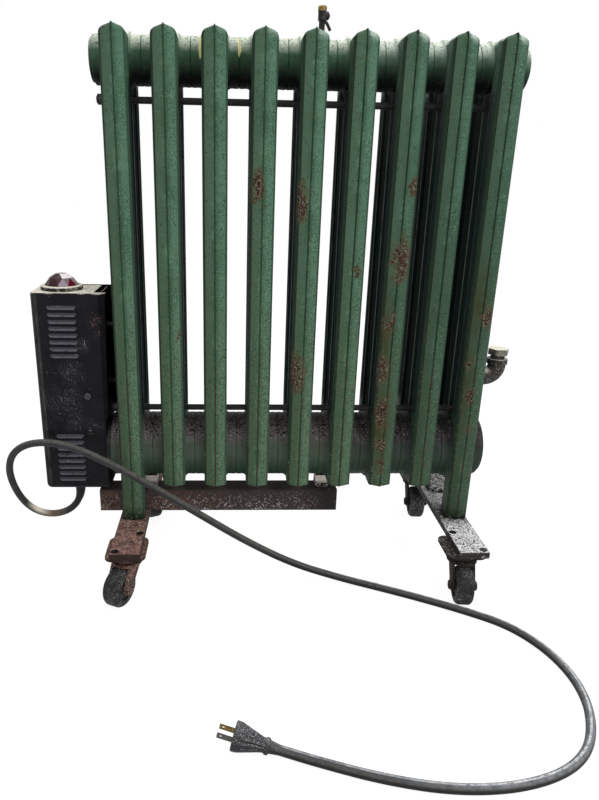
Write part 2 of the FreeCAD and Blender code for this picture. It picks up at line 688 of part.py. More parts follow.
def make_heater():
    face = -HUB_FACE_X
    back = V(-1, 0, 0)
    flange = rod(V(face, 0, LOWER_AXIS), back, HEATER_FLANGE_RADIUS, HEATER_FLANGE)
    thread = rod(V(face, 0, LOWER_AXIS), X_AXIS, LOWER_NIPPLE_RADIUS, HEATER_SCREWED)
    neck = rod(V(BOX_RIGHT, 0, LOWER_AXIS), back, HEATER_NECK_RADIUS, HEATER_NECK)
    head = united([flange, thread, neck])
    posts = []
    for side in (-1, 1):
        rod_start = V(face, side * HEATER_ROD_SPREAD, LOWER_AXIS)
        head = head.cut(rod(rod_start, X_AXIS, HEATER_ROD_RADIUS + SLIDE_FIT, HEATER_SCREWED))
        post_start = V(BOX_RIGHT - HEATER_NECK, side * TERMINAL_SPREAD, LOWER_AXIS)
        posts.append(rod(post_start, back, TERMINAL_RADIUS, TERMINAL))
    save("heater_head", united([head] + posts))

    nut_start = V(BOX_RIGHT - BOX_SHEET, 0, LOWER_AXIS)
    nut = hexagon(nut_start, back, HEATER_NUT_FLATS, HEATER_NUT)
    nut = nut.cut(rod(nut_start, back, HEATER_NECK_RADIUS + SLIDE_FIT, HEATER_NUT))
    save("heater_lock_nut", nut)

    run = HEATER_ROD_LENGTH
    arms = [rod(V(face, y, LOWER_AXIS), X_AXIS, HEATER_ROD_RADIUS, run)
            for y in (-HEATER_ROD_SPREAD, HEATER_ROD_SPREAD)]
    end = V(face + run, HEATER_ROD_SPREAD, LOWER_AXIS)
    profile = Part.Face(Part.Wire(Part.makeCircle(HEATER_ROD_RADIUS, end, X_AXIS)))
    bend = profile.revolve(V(face + run, 0, LOWER_AXIS), Z_AXIS * -1, 180)
    save("heater_element", united(arms + [bend]))


def make_rail():
    right = RAIL_LEFT + RAIL_LENGTH
    back = RAIL_FRONT_Y + RAIL_TOP_WIDTH
    web = block(RAIL_LEFT, right, RAIL_FRONT_Y, RAIL_FRONT_Y + RAIL_SHEET, RAIL_BOTTOM, RAIL_TOP)
    top = block(RAIL_LEFT, right, RAIL_FRONT_Y, back, RAIL_TOP - RAIL_SHEET, RAIL_TOP)
    rail = united([web, top])
    blocks, bolts = [], []
    for x in BLOCK_PLACES:
        hole = rod(V(x, 0, RAIL_BOTTOM), Z_AXIS, RAIL_BOLT_RADIUS + HOLE_FIT, COLUMN_BOTTOM - RAIL_BOTTOM)
        rail = rail.cut(hole)
        packing = block(x - BLOCK_X / 2, x + BLOCK_X / 2, back - BLOCK_Y, back, RAIL_TOP, COLUMN_BOTTOM)
        blocks.append(packing.cut(hole))
        under = V(x, 0, RAIL_TOP - RAIL_SHEET - RAIL_BOLT_HEAD)
        shank_length = COLUMN_BOTTOM + RAIL_BOLT_SCREWED - under.z
        bolts.append(united([
            hexagon(under, Z_AXIS, RAIL_BOLT_FLATS, RAIL_BOLT_HEAD),
            rod(under, Z_AXIS, RAIL_BOLT_RADIUS, shank_length),
        ]))
    save("support_rail", rail)
    save("rail_blocks", *blocks)
    save("rail_bolts", *bolts)


def caster_places():
    """Name, middle of the plate's bar end, swivel axis and the direction in which the wheel trails."""
    for name, heading in CASTER_HEADINGS.items():
        end, side = name.split("_")
        x = (-END_X if side == "left" else END_X) + BAR_SHIFTS[side]
        toward = -1 if end == "front" else 1
        middle = V(x, toward * (BAR_LENGTH / 2 - PLATE_INSET - PLATE_Y / 2), 0)
        axis = V(x + CASTER_SHIFTS[side], toward * (BAR_LENGTH / 2 - CASTER_INSET), 0)
        angle = math.radians(heading)
        yield name, middle, axis, V(-math.sin(angle), -math.cos(angle), 0)


def caster_bolt_places(middle):
    """The two bolts stand on a diagonal of the bar's end, which mirrors from left to right."""
    mirror = 1 if middle.x > 0 else -1
    for end in (-1, 1):
        yield V(middle.x - mirror * end * CASTER_BOLT_X, middle.y + end * CASTER_BOLT_Y, 0)


def make_foot_bars():
    leg_bolts = []
    for name, leg_x in (("left", -END_X), ("right", END_X)):
        x = leg_x + BAR_SHIFTS[name]
        bar = block(x - BAR_WIDTH / 2, x + BAR_WIDTH / 2, -BAR_LENGTH / 2, BAR_LENGTH / 2,
                    BAR_BOTTOM, BAR_TOP)
        for y in (-OUTER_TUBE_Y, OUTER_TUBE_Y):
            under = V(leg_x, y, BAR_BOTTOM)
            bar = bar.cut(rod(under, Z_AXIS, LEG_BOLT_RADIUS + HOLE_FIT, BAR_SHEET))
            head = hexagon(under - Z_AXIS * LEG_BOLT_HEAD, Z_AXIS, LEG_BOLT_FLATS, LEG_BOLT_HEAD)
            shank = rod(under, Z_AXIS, LEG_BOLT_RADIUS, BAR_SHEET + LEG_BOLT_REACH - FACE_GAP)
            leg_bolts.append(united([head, shank]))
        for side_name, middle, _, _ in caster_places():
            if not side_name.endswith(name):
                continue
            for place in caster_bolt_places(middle):
                low = place + Z_AXIS * BAR_BOTTOM
                seat = place + Z_AXIS * (BAR_TOP - BOLT_SINK)
                hole = CASTER_BOLT_RADIUS + HOLE_FIT
                bar = bar.cut(rod(low, Z_AXIS, hole, BAR_SHEET))
                bar = bar.cut(Part.makeCone(hole, hole + BOLT_SINK, BOLT_SINK, seat, Z_AXIS))
        save(name + "_foot_bar", bar)
    save("leg_bolts", *leg_bolts)


def caster_plate(middle, axis):
    """Top plate with rounded corners and the cup of the swivel race pressed in its underside."""
    low = BAR_BOTTOM - PLATE_SHEET
    plate = block(axis.x - PLATE_X / 2, axis.x + PLATE_X / 2,
                  middle.y - PLATE_Y / 2, middle.y + PLATE_Y / 2, low, BAR_BOTTOM)
    corners = [e for e in plate.Edges if abs(e.tangentAt(e.FirstParameter).z) > 0.9]
    plate = plate.makeFillet(PLATE_CORNER, corners)
    race_foot = axis + Z_AXIS * (low - RACE_DEPTH)
    race = Part.makeCone(RACE_FOOT_RADIUS, RACE_RADIUS, RACE_DEPTH, race_foot, Z_AXIS)
    plate = united([plate, race])
    plate = plate.cut(rod(race_foot, Z_AXIS, KING_PIN_RADIUS + SLIDE_FIT, RACE_DEPTH + PLATE_SHEET))
    for place in caster_bolt_places(middle):
        plate = plate.cut(rod(place + Z_AXIS * low, Z_AXIS, CASTER_BOLT_RADIUS + SLIDE_FIT, PLATE_SHEET))
    return plate


def caster_bolt(place, axis):
    """Flush countersunk bolt through the bar: tapped in the plate over the race, with a nut elsewhere."""
    seat = place + Z_AXIS * (BAR_TOP - BOLT_SINK)
    head = Part.makeCone(CASTER_BOLT_RADIUS, CASTER_BOLT_HEAD_RADIUS, BOLT_SINK, seat, Z_AXIS)
    under = BAR_BOTTOM - PLATE_SHEET
    over_race = (place - axis).Length < RACE_RADIUS + CASTER_NUT_FLATS
    shank_low = under if over_race else under - CASTER_NUT - CASTER_BOLT_TAIL
    shank = rod(place + Z_AXIS * shank_low, Z_AXIS, CASTER_BOLT_RADIUS, seat.z - shank_low)
    solids = [united([head, shank])]
    if not over_race:
        nut_foot = place + Z_AXIS * (under - CASTER_NUT)
        nut = hexagon(nut_foot, Z_AXIS, CASTER_NUT_FLATS, CASTER_NUT)
        solids.append(nut.cut(rod(nut_foot, Z_AXIS, CASTER_BOLT_RADIUS + SLIDE_FIT, CASTER_NUT)))
    return solids


def king_pin(axis, crown_low):
    head_low = crown_low - FACE_GAP - KING_PIN_HEAD
    head = rod(axis + Z_AXIS * head_low, Z_AXIS, KING_PIN_HEAD_RADIUS, KING_PIN_HEAD)
    shank = rod(axis + Z_AXIS * head_low, Z_AXIS, KING_PIN_RADIUS, BAR_BOTTOM - head_low)
    return united([head, shank])


def fork_shape(axis, trail, crown_low):
    """Round crown with two cheeks that carry the axle behind the swivel axis."""
    across = V(-trail.y, trail.x, 0)
    cheek_inner = WHEEL_WIDTH / 2 + WHEEL_SIDE_GAP
    crown_top = crown_low + FORK_SHEET
    crown = rod(axis + Z_AXIS * crown_low, Z_AXIS, FORK_CROWN_RADIUS, FORK_SHEET)
    hub = axis + trail * CASTER_TRAIL + Z_AXIS * WHEEL_RADIUS
    shapes = [crown]
    reach = math.sqrt(FORK_CROWN_RADIUS ** 2 - (cheek_inner + FORK_SHEET) ** 2)
    for side in (-1, 1):
        inner = across * (side * cheek_inner)
        outward = across * (side * FORK_SHEET)
        top_mid = axis + inner + Z_AXIS * crown_top
        lean = hub + inner - top_mid
        edge = lean.cross(across).normalize() * FORK_BOSS_RADIUS
        near = edge if edge.dot(trail) < 0 else edge * -1
        points = [
            top_mid - trail * reach,
            hub + inner + near,
            hub + inner - near,
            top_mid + trail * reach,
        ]
        shapes.append(prism(points, outward))
        shapes.append(rod(hub + inner, across * side, FORK_BOSS_RADIUS, FORK_SHEET))
    fork = united(shapes)
    fork = fork.cut(rod(axis, Z_AXIS, KING_PIN_RADIUS + RUN_FIT, crown_top))
    wide = cheek_inner + FORK_SHEET
    return fork.cut(rod(hub - across * wide, across, AXLE_RADIUS + SLIDE_FIT, 2 * wide))


def wheel_shape(hub, across):
    """Solid rubber wheel: rounded tread, dished sides, running bore."""
    half = WHEEL_WIDTH / 2
    body = rod(hub - across * half, across, WHEEL_RADIUS, WHEEL_WIDTH)
    rims = [e for e in body.Edges if e.Curve.TypeId == "Part::GeomCircle"]
    body = body.makeFillet(WHEEL_SHOULDER, rims)
    for side in (-1, 1):
        start = hub + across * (side * (half - WHEEL_RECESS))
        dish = ring(start, across * side, WHEEL_RECESS_RADIUS, AXLE_HEAD_RADIUS, WHEEL_RECESS)
        body = body.cut(dish)
        boss_start = hub + across * (side * half)
        boss = rod(boss_start, across * side, AXLE_HEAD_RADIUS, WHEEL_SIDE_GAP - FACE_GAP)
        body = united([body, boss])
    return body.cut(rod(hub - across * 2 * half, across, AXLE_RADIUS + RUN_FIT, 4 * half))


def axle_shape(hub, across):
    wide = WHEEL_WIDTH / 2 + WHEEL_SIDE_GAP + FORK_SHEET
    shapes = [rod(hub - across * wide, across, AXLE_RADIUS, 2 * wide)]
    for side in (-1, 1):
        head = rod(hub + across * (side * wide), across * side, AXLE_HEAD_RADIUS, AXLE_HEAD)
        rim = [e for e in head.Edges if e.Curve.TypeId == "Part::GeomCircle"]
        far = max(rim, key=lambda e: (e.CenterOfMass - hub).Length)
        shapes.append(head.makeFillet(AXLE_HEAD_EDGE, [far]))
    return united(shapes)


def make_casters():
    crown_low = BAR_BOTTOM - PLATE_SHEET - RACE_DEPTH - FACE_GAP - FORK_SHEET
    plates, pins, bolts = [], [], []
    for name, middle, axis, trail in caster_places():
        across = V(-trail.y, trail.x, 0)
        hub = axis + trail * CASTER_TRAIL + Z_AXIS * WHEEL_RADIUS
        plates.append(caster_plate(middle, axis))
        pins.append(king_pin(axis, crown_low))
        for place in caster_bolt_places(middle):
            bolts += caster_bolt(place, axis)
        save("caster_fork_" + name, fork_shape(axis, trail, crown_low))
        save("caster_wheel_" + name, wheel_shape(hub, across))
        save("caster_axle_" + name, axle_shape(hub, across))
    save("caster_plates", *plates)
    save("caster_king_pins", *pins)
    save("caster_bolts", *bolts)


def louvre(corner, wall):
    """Pressed hood with pointed ends, open below; a wall leaves that much metal around its hollow."""
    top = LOUVRE_HEIGHT / 2 - wall
    low = -LOUVRE_HEIGHT / 2
    reach = LOUVRE_OUT - wall
    start = corner.x + wall
    end = corner.x + LOUVRE_LENGTH - wall
    side = ((BOX_SHEET, top), (-reach, low + LOUVRE_LIP), (-reach, low), (BOX_SHEET, low))
    hood = prism([V(start, BOX_FRONT + y, corner.z + z) for y, z in side], V(end - start, 0, 0))
    tip = (top + low) / 2
    front = ((start, tip), (start + LOUVRE_TAPER, top), (end - LOUVRE_TAPER, top),
             (end, tip), (end - LOUVRE_TAPER, low), (start + LOUVRE_TAPER, low))
    tapered = prism([V(x, BOX_FRONT - reach, corner.z + z) for x, z in front], V(0, reach + BOX_SHEET, 0))
    return hood.common(tapered)


def louvre_places():
    x = BOX_LEFT + LOUVRE_INSET
    for i in range(LOUVRES):
        yield V(x, 0, BOX_TOP - UPPER_LOUVRE_DROP - i * LOUVRE_PITCH)
    for i in range(LOUVRES):
        yield V(x + LOUVRE_LOWER_SHIFT, 0, BOX_BOTTOM + LOWER_LOUVRE_RISE + i * LOUVRE_PITCH)


def cover_screw_places():
    for rise in COVER_SCREW_RISES:
        yield V(BOX_RIGHT - COVER_SCREW_INSET, BOX_FRONT, BOX_BOTTOM + rise)


def stud_places():
    """Where the studs leave the box's right wall towards the middle tube of the end section."""
    for rise in STUD_RISES:
        yield V(BOX_RIGHT, 0, BOX_BOTTOM + rise)


def make_studs():
    """Studs screwed in the end section, with a nut there and one on each side of the box's wall."""
    start_x = BOX_RIGHT - BOX_SHEET - STUD_NUT - STUD_TAIL
    solids = []
    for p in stud_places():
        start = V(start_x, p.y, p.z)
        solids.append(rod(start, X_AXIS, STUD_RADIUS, -END_SIDE_X + STUD_SCREWED - start_x))
        for nut_x in (BOX_RIGHT - BOX_SHEET - STUD_NUT, BOX_RIGHT, -END_SIDE_X - STUD_NUT):
            nut = hexagon(V(nut_x, p.y, p.z), X_AXIS, STUD_NUT_FLATS, STUD_NUT)
            solids.append(nut.cut(rod(start, X_AXIS, STUD_RADIUS + SLIDE_FIT, -END_SIDE_X - start_x)))
    save("box_studs", *solids)


def rounded_corner(shape, corner, radius):
    """Rounds the three edges of a box that meet at one of its corners."""
    edges = []
    for edge in shape.Edges:
        middle = edge.CenterOfMass
        away = (abs(middle.x - corner.x), abs(middle.y - corner.y), abs(middle.z - corner.z))
        if sorted(away)[1] < NEAR:
            edges.append(edge)
    return shape.makeFillet(radius, edges)


def make_box():
    t = BOX_SHEET
    outer = block(BOX_LEFT, BOX_RIGHT, BOX_FRONT, BOX_BACK - t, BOX_BOTTOM, BOX_TOP - t)
    outer = rounded_corner(outer, V(BOX_LEFT, BOX_FRONT, BOX_BOTTOM), BOX_CORNER)
    inner = block(BOX_LEFT + t, BOX_RIGHT + t, BOX_FRONT + t, BOX_BACK, BOX_BOTTOM + t, BOX_TOP)
    inner = rounded_corner(inner, V(BOX_LEFT + t, BOX_FRONT + t, BOX_BOTTOM + t), BOX_CORNER - t)
    wing_low = BOX_BOTTOM + WING_RISE
    wing_outline = ((BOX_RIGHT, wing_low), (BOX_RIGHT + WING_FOOT, wing_low + WING_FOOT),
                    (BOX_RIGHT + WING_OUT, BOX_TOP - t), (BOX_RIGHT, BOX_TOP - t))
    wing = prism([V(x, BOX_FRONT, z) for x, z in wing_outline], V(0, t, 0))
    cover = united([outer.cut(inner), wing])
    hoods = [louvre(p, 0) for p in louvre_places()]
    slots = [louvre(p, LOUVRE_WALL) for p in louvre_places()]
    cover = united([cover] + hoods).cut(Part.makeCompound(slots))
    gland_hole = rod(V(GLAND_X, 0, BOX_BOTTOM - t), Z_AXIS, GLAND_RADIUS + SLIDE_FIT, 3 * t)
    cover = cover.cut(gland_hole)
    for p in cover_screw_places():
        cover = cover.cut(rod(p, Y_AXIS, COVER_SCREW_RADIUS + HOLE_FIT, t))
    save("control_cover", cover)

    wall_low = BOX_BOTTOM + BOX_CORNER + CHASSIS_CLEAR
    inside_front = BOX_FRONT + t + CHASSIS_CLEAR
    right_wall = block(BOX_RIGHT - t, BOX_RIGHT, inside_front, BOX_BACK, wall_low, BOX_TOP - t)
    back_wall = block(BOX_LEFT, BOX_RIGHT, BOX_BACK - t, BOX_BACK, BOX_BOTTOM, BOX_TOP + BACK_STEP)
    flange = block(BOX_RIGHT - CHASSIS_FLANGE, BOX_RIGHT, inside_front, inside_front + t,
                   wall_low, BOX_TOP - t)
    back_wing = block(BOX_RIGHT, -END_SIDE_X, BOX_BACK - t, BOX_BACK, wing_low, BOX_TOP + BACK_STEP)
    chassis = united([right_wall, back_wall, flange, back_wing])
    neck_hole = rod(V(BOX_RIGHT, 0, LOWER_AXIS), X_AXIS * -1, HEATER_NECK_RADIUS + HOLE_FIT, t)
    chassis = chassis.cut(neck_hole)
    for p in cover_screw_places():
        chassis = chassis.cut(rod(p, Y_AXIS, COVER_SCREW_RADIUS + SLIDE_FIT, COVER_SCREW_LENGTH))
    for p in stud_places():
        chassis = chassis.cut(rod(p, X_AXIS * -1, STUD_RADIUS + HOLE_FIT, BOX_SHEET))
    save("control_chassis", chassis)

    plate = block(BOX_LEFT, BOX_RIGHT - BOX_TOP_OPEN, BOX_FRONT, BOX_BACK - t, BOX_TOP - t, BOX_TOP)
    edge = [e for e in plate.Edges if abs(e.CenterOfMass.x - BOX_LEFT) < NEAR
            and abs(e.CenterOfMass.y - BOX_FRONT) < NEAR]
    plate = plate.makeFillet(BOX_CORNER, edge)
    lip = block(BOX_LEFT + BOX_CORNER, BOX_RIGHT - BOX_TOP_OPEN, BOX_BACK - 2 * t, BOX_BACK - t,
                BOX_TOP - BOX_TOP_FLANGE, BOX_TOP)
    strip = block(BOX_RIGHT - BOX_TOP_OPEN, BOX_RIGHT + WING_OUT, BOX_FRONT, BOX_FRONT + TOP_STRIP,
                  BOX_TOP - t, BOX_TOP)
    plate = united([plate, lip, strip])
    plate = plate.cut(rod(V(LAMP_X, 0, BOX_TOP - 2 * t), Z_AXIS, BEZEL_NECK_RADIUS + SLIDE_FIT, 3 * t))
    save("control_top", plate)

    screws = []
    for p in cover_screw_places():
        head = rod(p, Y_AXIS * -1, COVER_SCREW_HEAD_RADIUS, COVER_SCREW_HEAD)
        rim = [e for e in head.Edges if e.CenterOfMass.y < p.y - COVER_SCREW_HEAD + NEAR]
        head = head.makeFillet(COVER_SCREW_EDGE, rim)
        slot = block(p.x - COVER_SCREW_HEAD_RADIUS, p.x + COVER_SCREW_HEAD_RADIUS,
                     p.y - COVER_SCREW_HEAD, p.y - COVER_SCREW_HEAD / 2,
                     p.z - SCREW_SLOT / 2, p.z + SCREW_SLOT / 2)
        shank = rod(p, Y_AXIS, COVER_SCREW_RADIUS, COVER_SCREW_LENGTH)
        screws.append(united([head, shank]).cut(slot))
    save("cover_screws", *screws)


def jewel_shape():
    """Faceted dome: rows of flat facets, each row turned half a facet from the one below."""
    faces = []
    previous = None
    for i, (width, height) in enumerate(JEWEL_ROWS):
        points = []
        for j in range(JEWEL_SIDES):
            angle = 2 * math.pi * (j + i % 2 / 2) / JEWEL_SIDES
            r = JEWEL_RADIUS * width
            points.append(V(r * math.cos(angle), r * math.sin(angle), JEWEL_HEIGHT * height))
        if previous is None:
            faces.append(Part.Face(Part.makePolygon(points + [points[0]])))
        else:
            for j in range(JEWEL_SIDES):
                k = (j + 1) % JEWEL_SIDES
                if i % 2:
                    quads = ((previous[j], previous[k], points[j]), (points[j], previous[k], points[k]))
                else:
                    quads = ((previous[j], points[k], points[j]), (previous[j], previous[k], points[k]))
                for a, b, c in quads:
                    faces.append(Part.Face(Part.makePolygon([a, b, c, a])))
        previous = points
    faces.append(Part.Face(Part.makePolygon(previous + [previous[0]])))
    shape = Part.makeSolid(Part.makeShell(faces))
    if shape.Volume < 0:
        shape.reverse()
    return shape


def make_pilot_light():
    top = BOX_TOP
    seat = top + BEZEL_SEAT
    outer = rod(V(LAMP_X, 0, top), Z_AXIS, BEZEL_RADIUS, BEZEL_HEIGHT)
    rim = [e for e in outer.Edges if e.CenterOfMass.z > top + BEZEL_HEIGHT - NEAR]
    outer = outer.makeFillet(BEZEL_EDGE, rim)
    neck = rod(V(LAMP_X, 0, top - BEZEL_NECK), Z_AXIS, BEZEL_NECK_RADIUS, BEZEL_NECK)
    bezel = united([outer, neck])
    bezel = bezel.cut(rod(V(LAMP_X, 0, seat), Z_AXIS, JEWEL_RADIUS + FACE_GAP, BEZEL_HEIGHT))
    bezel = bezel.cut(rod(V(LAMP_X, 0, top - BEZEL_NECK), Z_AXIS, BEZEL_BORE, BEZEL_NECK + BEZEL_HEIGHT))
    save("jewel_bezel", bezel)
    jewel = jewel_shape()
    jewel.translate(V(LAMP_X, 0, seat))
    save("pilot_jewel", jewel)

    holder_top = top - BEZEL_NECK - FACE_GAP
    low = holder_top - HOLDER_LENGTH
    cup = ring(V(LAMP_X, 0, low), Z_AXIS, HOLDER_RADIUS, HOLDER_RADIUS - HOLDER_WALL, HOLDER_LENGTH)
    floor = rod(V(LAMP_X, 0, low), Z_AXIS, HOLDER_RADIUS, HOLDER_WALL)
    arm = block(LAMP_X - HOLDER_ARM / 2, LAMP_X + HOLDER_ARM / 2, HOLDER_RADIUS - HOLDER_WALL,
                BOX_BACK - BOX_SHEET, low, low + HOLDER_ARM)
    holder = united([cup, floor, arm])
    bulb_low = low + HOLDER_WALL
    glass = rod(V(LAMP_X, 0, bulb_low), Z_AXIS, BULB_RADIUS, BULB_LENGTH)
    dome = Part.makeSphere(BULB_RADIUS, V(LAMP_X, 0, bulb_low + BULB_LENGTH))
    save("pilot_lamp", holder, united([glass, dome]))


def capillary(start):
    """Thin tube from the switch's bellows to the heater's head."""
    end = V(BOX_RIGHT - HEATER_NECK, 0, LOWER_AXIS + CAPILLARY_RISE)
    points = [start, start - Z_AXIS * CAPILLARY_DROP, end - X_AXIS * CAPILLARY_RUN, end]
    return bent_tube(points, CAPILLARY_RADIUS, lambda i, half_turn: CAPILLARY_BEND)[1]


def make_switchgear():
    back = BOX_BACK - BOX_SHEET
    middle = (BOX_LEFT + BOX_RIGHT) / 2
    low = BOX_BOTTOM + SWITCH_RISE
    case = block(middle - SWITCH_X / 2, middle + SWITCH_X / 2, back - SWITCH_Y, back, low, low + SWITCH_Z)
    bellows = []
    centre = V(middle, back - SWITCH_Y / 2, low)
    for i in range(BELLOWS_RIBS):
        centre = centre - Z_AXIS * BELLOWS_PITCH
        radius = BELLOWS_WAIST_RADIUS if i % 2 else BELLOWS_RADIUS
        bellows.append(rod(centre, Z_AXIS, radius, BELLOWS_PITCH))
    save("pressure_switch", united([case] + bellows + [capillary(centre)]))
    base = BOX_BOTTOM + TERMINALS_RISE
    left = middle - TERMINALS_X / 2
    front = back - TERMINALS_Y
    strip = block(left, left + TERMINALS_X, front, back, base, base + TERMINALS_Z)
    for i in range(1, TERMINAL_WAYS):
        x = left + i * TERMINALS_X / TERMINAL_WAYS - TERMINAL_GROOVE / 2
        groove = block(x, x + TERMINAL_GROOVE, front, front + TERMINAL_GROOVE_DEPTH,
                       base, base + TERMINALS_Z)
        strip = strip.cut(groove)
    save("terminal_block", strip)


def make_cord():
    low = BOX_BOTTOM
    flange = rod(V(GLAND_X, 0, low - GLAND_FLANGE), Z_AXIS, GLAND_FLANGE_RADIUS, GLAND_FLANGE)
    sleeve = Part.makeCone(GLAND_TIP_RADIUS, GLAND_RADIUS, GLAND_LENGTH - GLAND_FLANGE,
                           V(GLAND_X, 0, low - GLAND_LENGTH), Z_AXIS)
    inside = rod(V(GLAND_X, 0, low), Z_AXIS, GLAND_RADIUS, BOX_SHEET)
    nut = rod(V(GLAND_X, 0, low + BOX_SHEET), Z_AXIS, GLAND_FLANGE_RADIUS, GLAND_NUT)
    save("cord_gland", united([flange, sleeve, inside, nut]))

    points = [V(*p) for p in CORD_ROUTE]

    radii = []

    def widest(i, half_turn):
        shorter = min((points[i] - points[i - 1]).Length, (points[i + 1] - points[i]).Length)
        radii.append(CORD_ARC_SHARE * shorter / math.tan(half_turn))
        return radii[-1]

    path, cord = bent_tube(points, CORD_RADIUS, widest)
    print("cord length", round(path.Length, 1), "mm, bend radii", [round(r) for r in radii])
    section_times_length = math.pi * CORD_RADIUS ** 2 * path.Length
    print("cord volume", round(cord.Volume), "mm3, section times length", round(section_times_length), "mm3")
    save("power_cord", cord)

    heading = V(*PLUG_HEADING).normalize()
    side = heading.cross(Z_AXIS).normalize()
    broad = heading.cross(side).normalize()
    neck = points[-1]
    cone_start = neck + heading * COLLAR_LENGTH
    cone_end = cone_start + heading * (PLUG_LENGTH - PLUG_RIM)
    face = cone_start + heading * PLUG_LENGTH
    shapes = [
        Part.makeCone(PLUG_NECK_RADIUS, PLUG_FACE_RADIUS, PLUG_LENGTH - PLUG_RIM, cone_start, heading),
        rod(cone_end, heading, PLUG_FACE_RADIUS, PLUG_RIM),
        rod(neck, heading, COLLAR_RADIUS, COLLAR_LENGTH),
    ]
    for i in range(PLUG_RIBS):
        out = FreeCAD.Rotation(heading, (i + 0.5) * 360 / PLUG_RIBS).multVec(side)
        foot = cone_start + out * PLUG_NECK_RADIUS
        run = cone_end + out * PLUG_FACE_RADIUS - foot
        shapes.append(rod(foot, run, PLUG_RIB_RADIUS, run.Length))
    body = united(shapes)
    blades = []
    for offset in (-BLADE_SPACING / 2, BLADE_SPACING / 2):
        middle = face + side * offset
        corner = middle - side * (BLADE_SHEET / 2) - broad * (BLADE_WIDTH / 2) - heading * BLADE_ROOT
        thick = side * BLADE_SHEET
        wide = broad * BLADE_WIDTH
        root = [corner, corner + thick, corner + thick + wide, corner + wide]
        body = body.cut(prism(root, heading * BLADE_ROOT))
        blade = prism(root, heading * (BLADE_LENGTH + BLADE_ROOT))
        hole_start = middle + heading * BLADE_HOLE_OUT - thick
        blades.append(blade.cut(rod(hole_start, side, BLADE_HOLE_RADIUS, 2 * BLADE_SHEET)))
    save("plug_body", body)
    save("plug_blades", *blades)


os.makedirs("parts", exist_ok=True)
make_sections()
make_nipples()
make_end_plugs()
make_tie_rods()
make_fill_fitting()
make_air_cock()
make_heater()
make_rail()
make_foot_bars()
make_casters()
make_box()
make_studs()
make_pilot_light()
make_switchgear()
make_cord()
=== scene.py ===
"""Looks of the electric steam radiator: finishes, finer sections, power cord, plug, camera and studio."""
import math

import bmesh
import bpy
from bpy.props import FloatProperty, FloatVectorProperty, PointerProperty
from mathutils import Matrix, Vector


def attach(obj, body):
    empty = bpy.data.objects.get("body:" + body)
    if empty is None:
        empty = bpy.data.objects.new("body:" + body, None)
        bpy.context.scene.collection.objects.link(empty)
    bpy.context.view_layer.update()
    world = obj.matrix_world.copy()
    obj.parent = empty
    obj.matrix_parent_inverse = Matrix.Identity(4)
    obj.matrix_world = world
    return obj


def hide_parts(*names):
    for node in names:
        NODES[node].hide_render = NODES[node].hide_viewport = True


bl_info = {
    "name": "Electric Steam Radiator",
    "version": (1, 0, 0),
    "blender": (4, 5, 0),
    "location": "View3D > Sidebar > Radiator",
    "description": "Dresses the radiator's frame with painted iron, rust, dust, rubber and a power cord",
    "category": "Object",
}

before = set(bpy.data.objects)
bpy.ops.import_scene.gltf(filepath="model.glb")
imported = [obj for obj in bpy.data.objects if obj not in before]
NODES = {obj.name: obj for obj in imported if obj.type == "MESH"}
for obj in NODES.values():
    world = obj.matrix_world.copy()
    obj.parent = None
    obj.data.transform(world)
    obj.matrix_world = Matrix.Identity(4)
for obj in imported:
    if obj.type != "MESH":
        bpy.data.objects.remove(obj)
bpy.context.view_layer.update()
FIXED = "radiator"
MM = 0.001
SECTIONS = 9
# The sections: their spacing, the heights of their columns, the legs' feet and the two headers, in metres.
PITCH = 63.5 * MM
COLUMN_BOTTOM = 142.0 * MM
COLUMN_TOP = 772.0 * MM
BAR_TOP = 86.4 * MM
HALF_WIDTH = 16.75 * MM
HALF_DEPTH = 62.5 * MM
UPPER_AXIS = 737.0 * MM
LOWER_AXIS = 191.5 * MM
# Points closer than this, in metres, are one point.
WELD = 0.00001
# A section's edges sharper than this, in degrees, are rounded by so much, in millimetres.
SHARP_ANGLE = 18
EDGE_ROUND = 0.7
CORNERS = ("front_left", "front_right", "rear_left", "rear_right")

# The cord's route from the gland to the plug, in metres.
CORD_ROUTE = (
    (-0.346, 0.0, 0.1175), (-0.346, 0.0, 0.104), (-0.353, 0.0, 0.086), (-0.366, -0.001, 0.073),
    (-0.386, -0.002, 0.066), (-0.406, -0.004, 0.068), (-0.424, -0.008, 0.079), (-0.4375, -0.014, 0.099),
    (-0.4465, -0.021, 0.128), (-0.4475, -0.030, 0.159), (-0.437, -0.040, 0.1875), (-0.415, -0.050, 0.207),
    (-0.383, -0.060, 0.2165), (-0.343, -0.068, 0.214), (-0.292, -0.075, 0.1935), (-0.228, -0.082, 0.1585),
    (-0.155, -0.087, 0.1125), (-0.082, -0.090, 0.066), (-0.008, -0.094, 0.0275), (0.066, -0.106, 0.009),
    (0.132, -0.132, 0.0058), (0.190, -0.1615, 0.0058), (0.246, -0.1935, 0.0058), (0.285, -0.221, 0.0058),
    (0.313, -0.262, 0.0058), (0.328, -0.312, 0.0058), (0.326, -0.362, 0.0058), (0.309, -0.408, 0.0058),
    (0.283, -0.444, 0.0058), (0.243, -0.469, 0.0058), (0.186, -0.483, 0.0058), (0.122, -0.483, 0.0058),
    (0.056, -0.469, 0.0058), (-0.004, -0.448, 0.0058), (-0.043, -0.4325, 0.0058), (-0.062, -0.428, 0.0095),
)


def linear(code):
    """sRGB hex to a linear colour with full alpha."""
    values = []
    for i in (0, 2, 4):
        v = int(code[i:i + 2], 16) / 255
        values.append(v / 12.92 if v <= 0.04045 else ((v + 0.055) / 1.055) ** 2.4)
    return (*values, 1.0)


def colour_property(name, description, code):
    return FloatVectorProperty(name=name, description=description, subtype="COLOR", size=4, min=0, max=1,
                               default=linear(code))


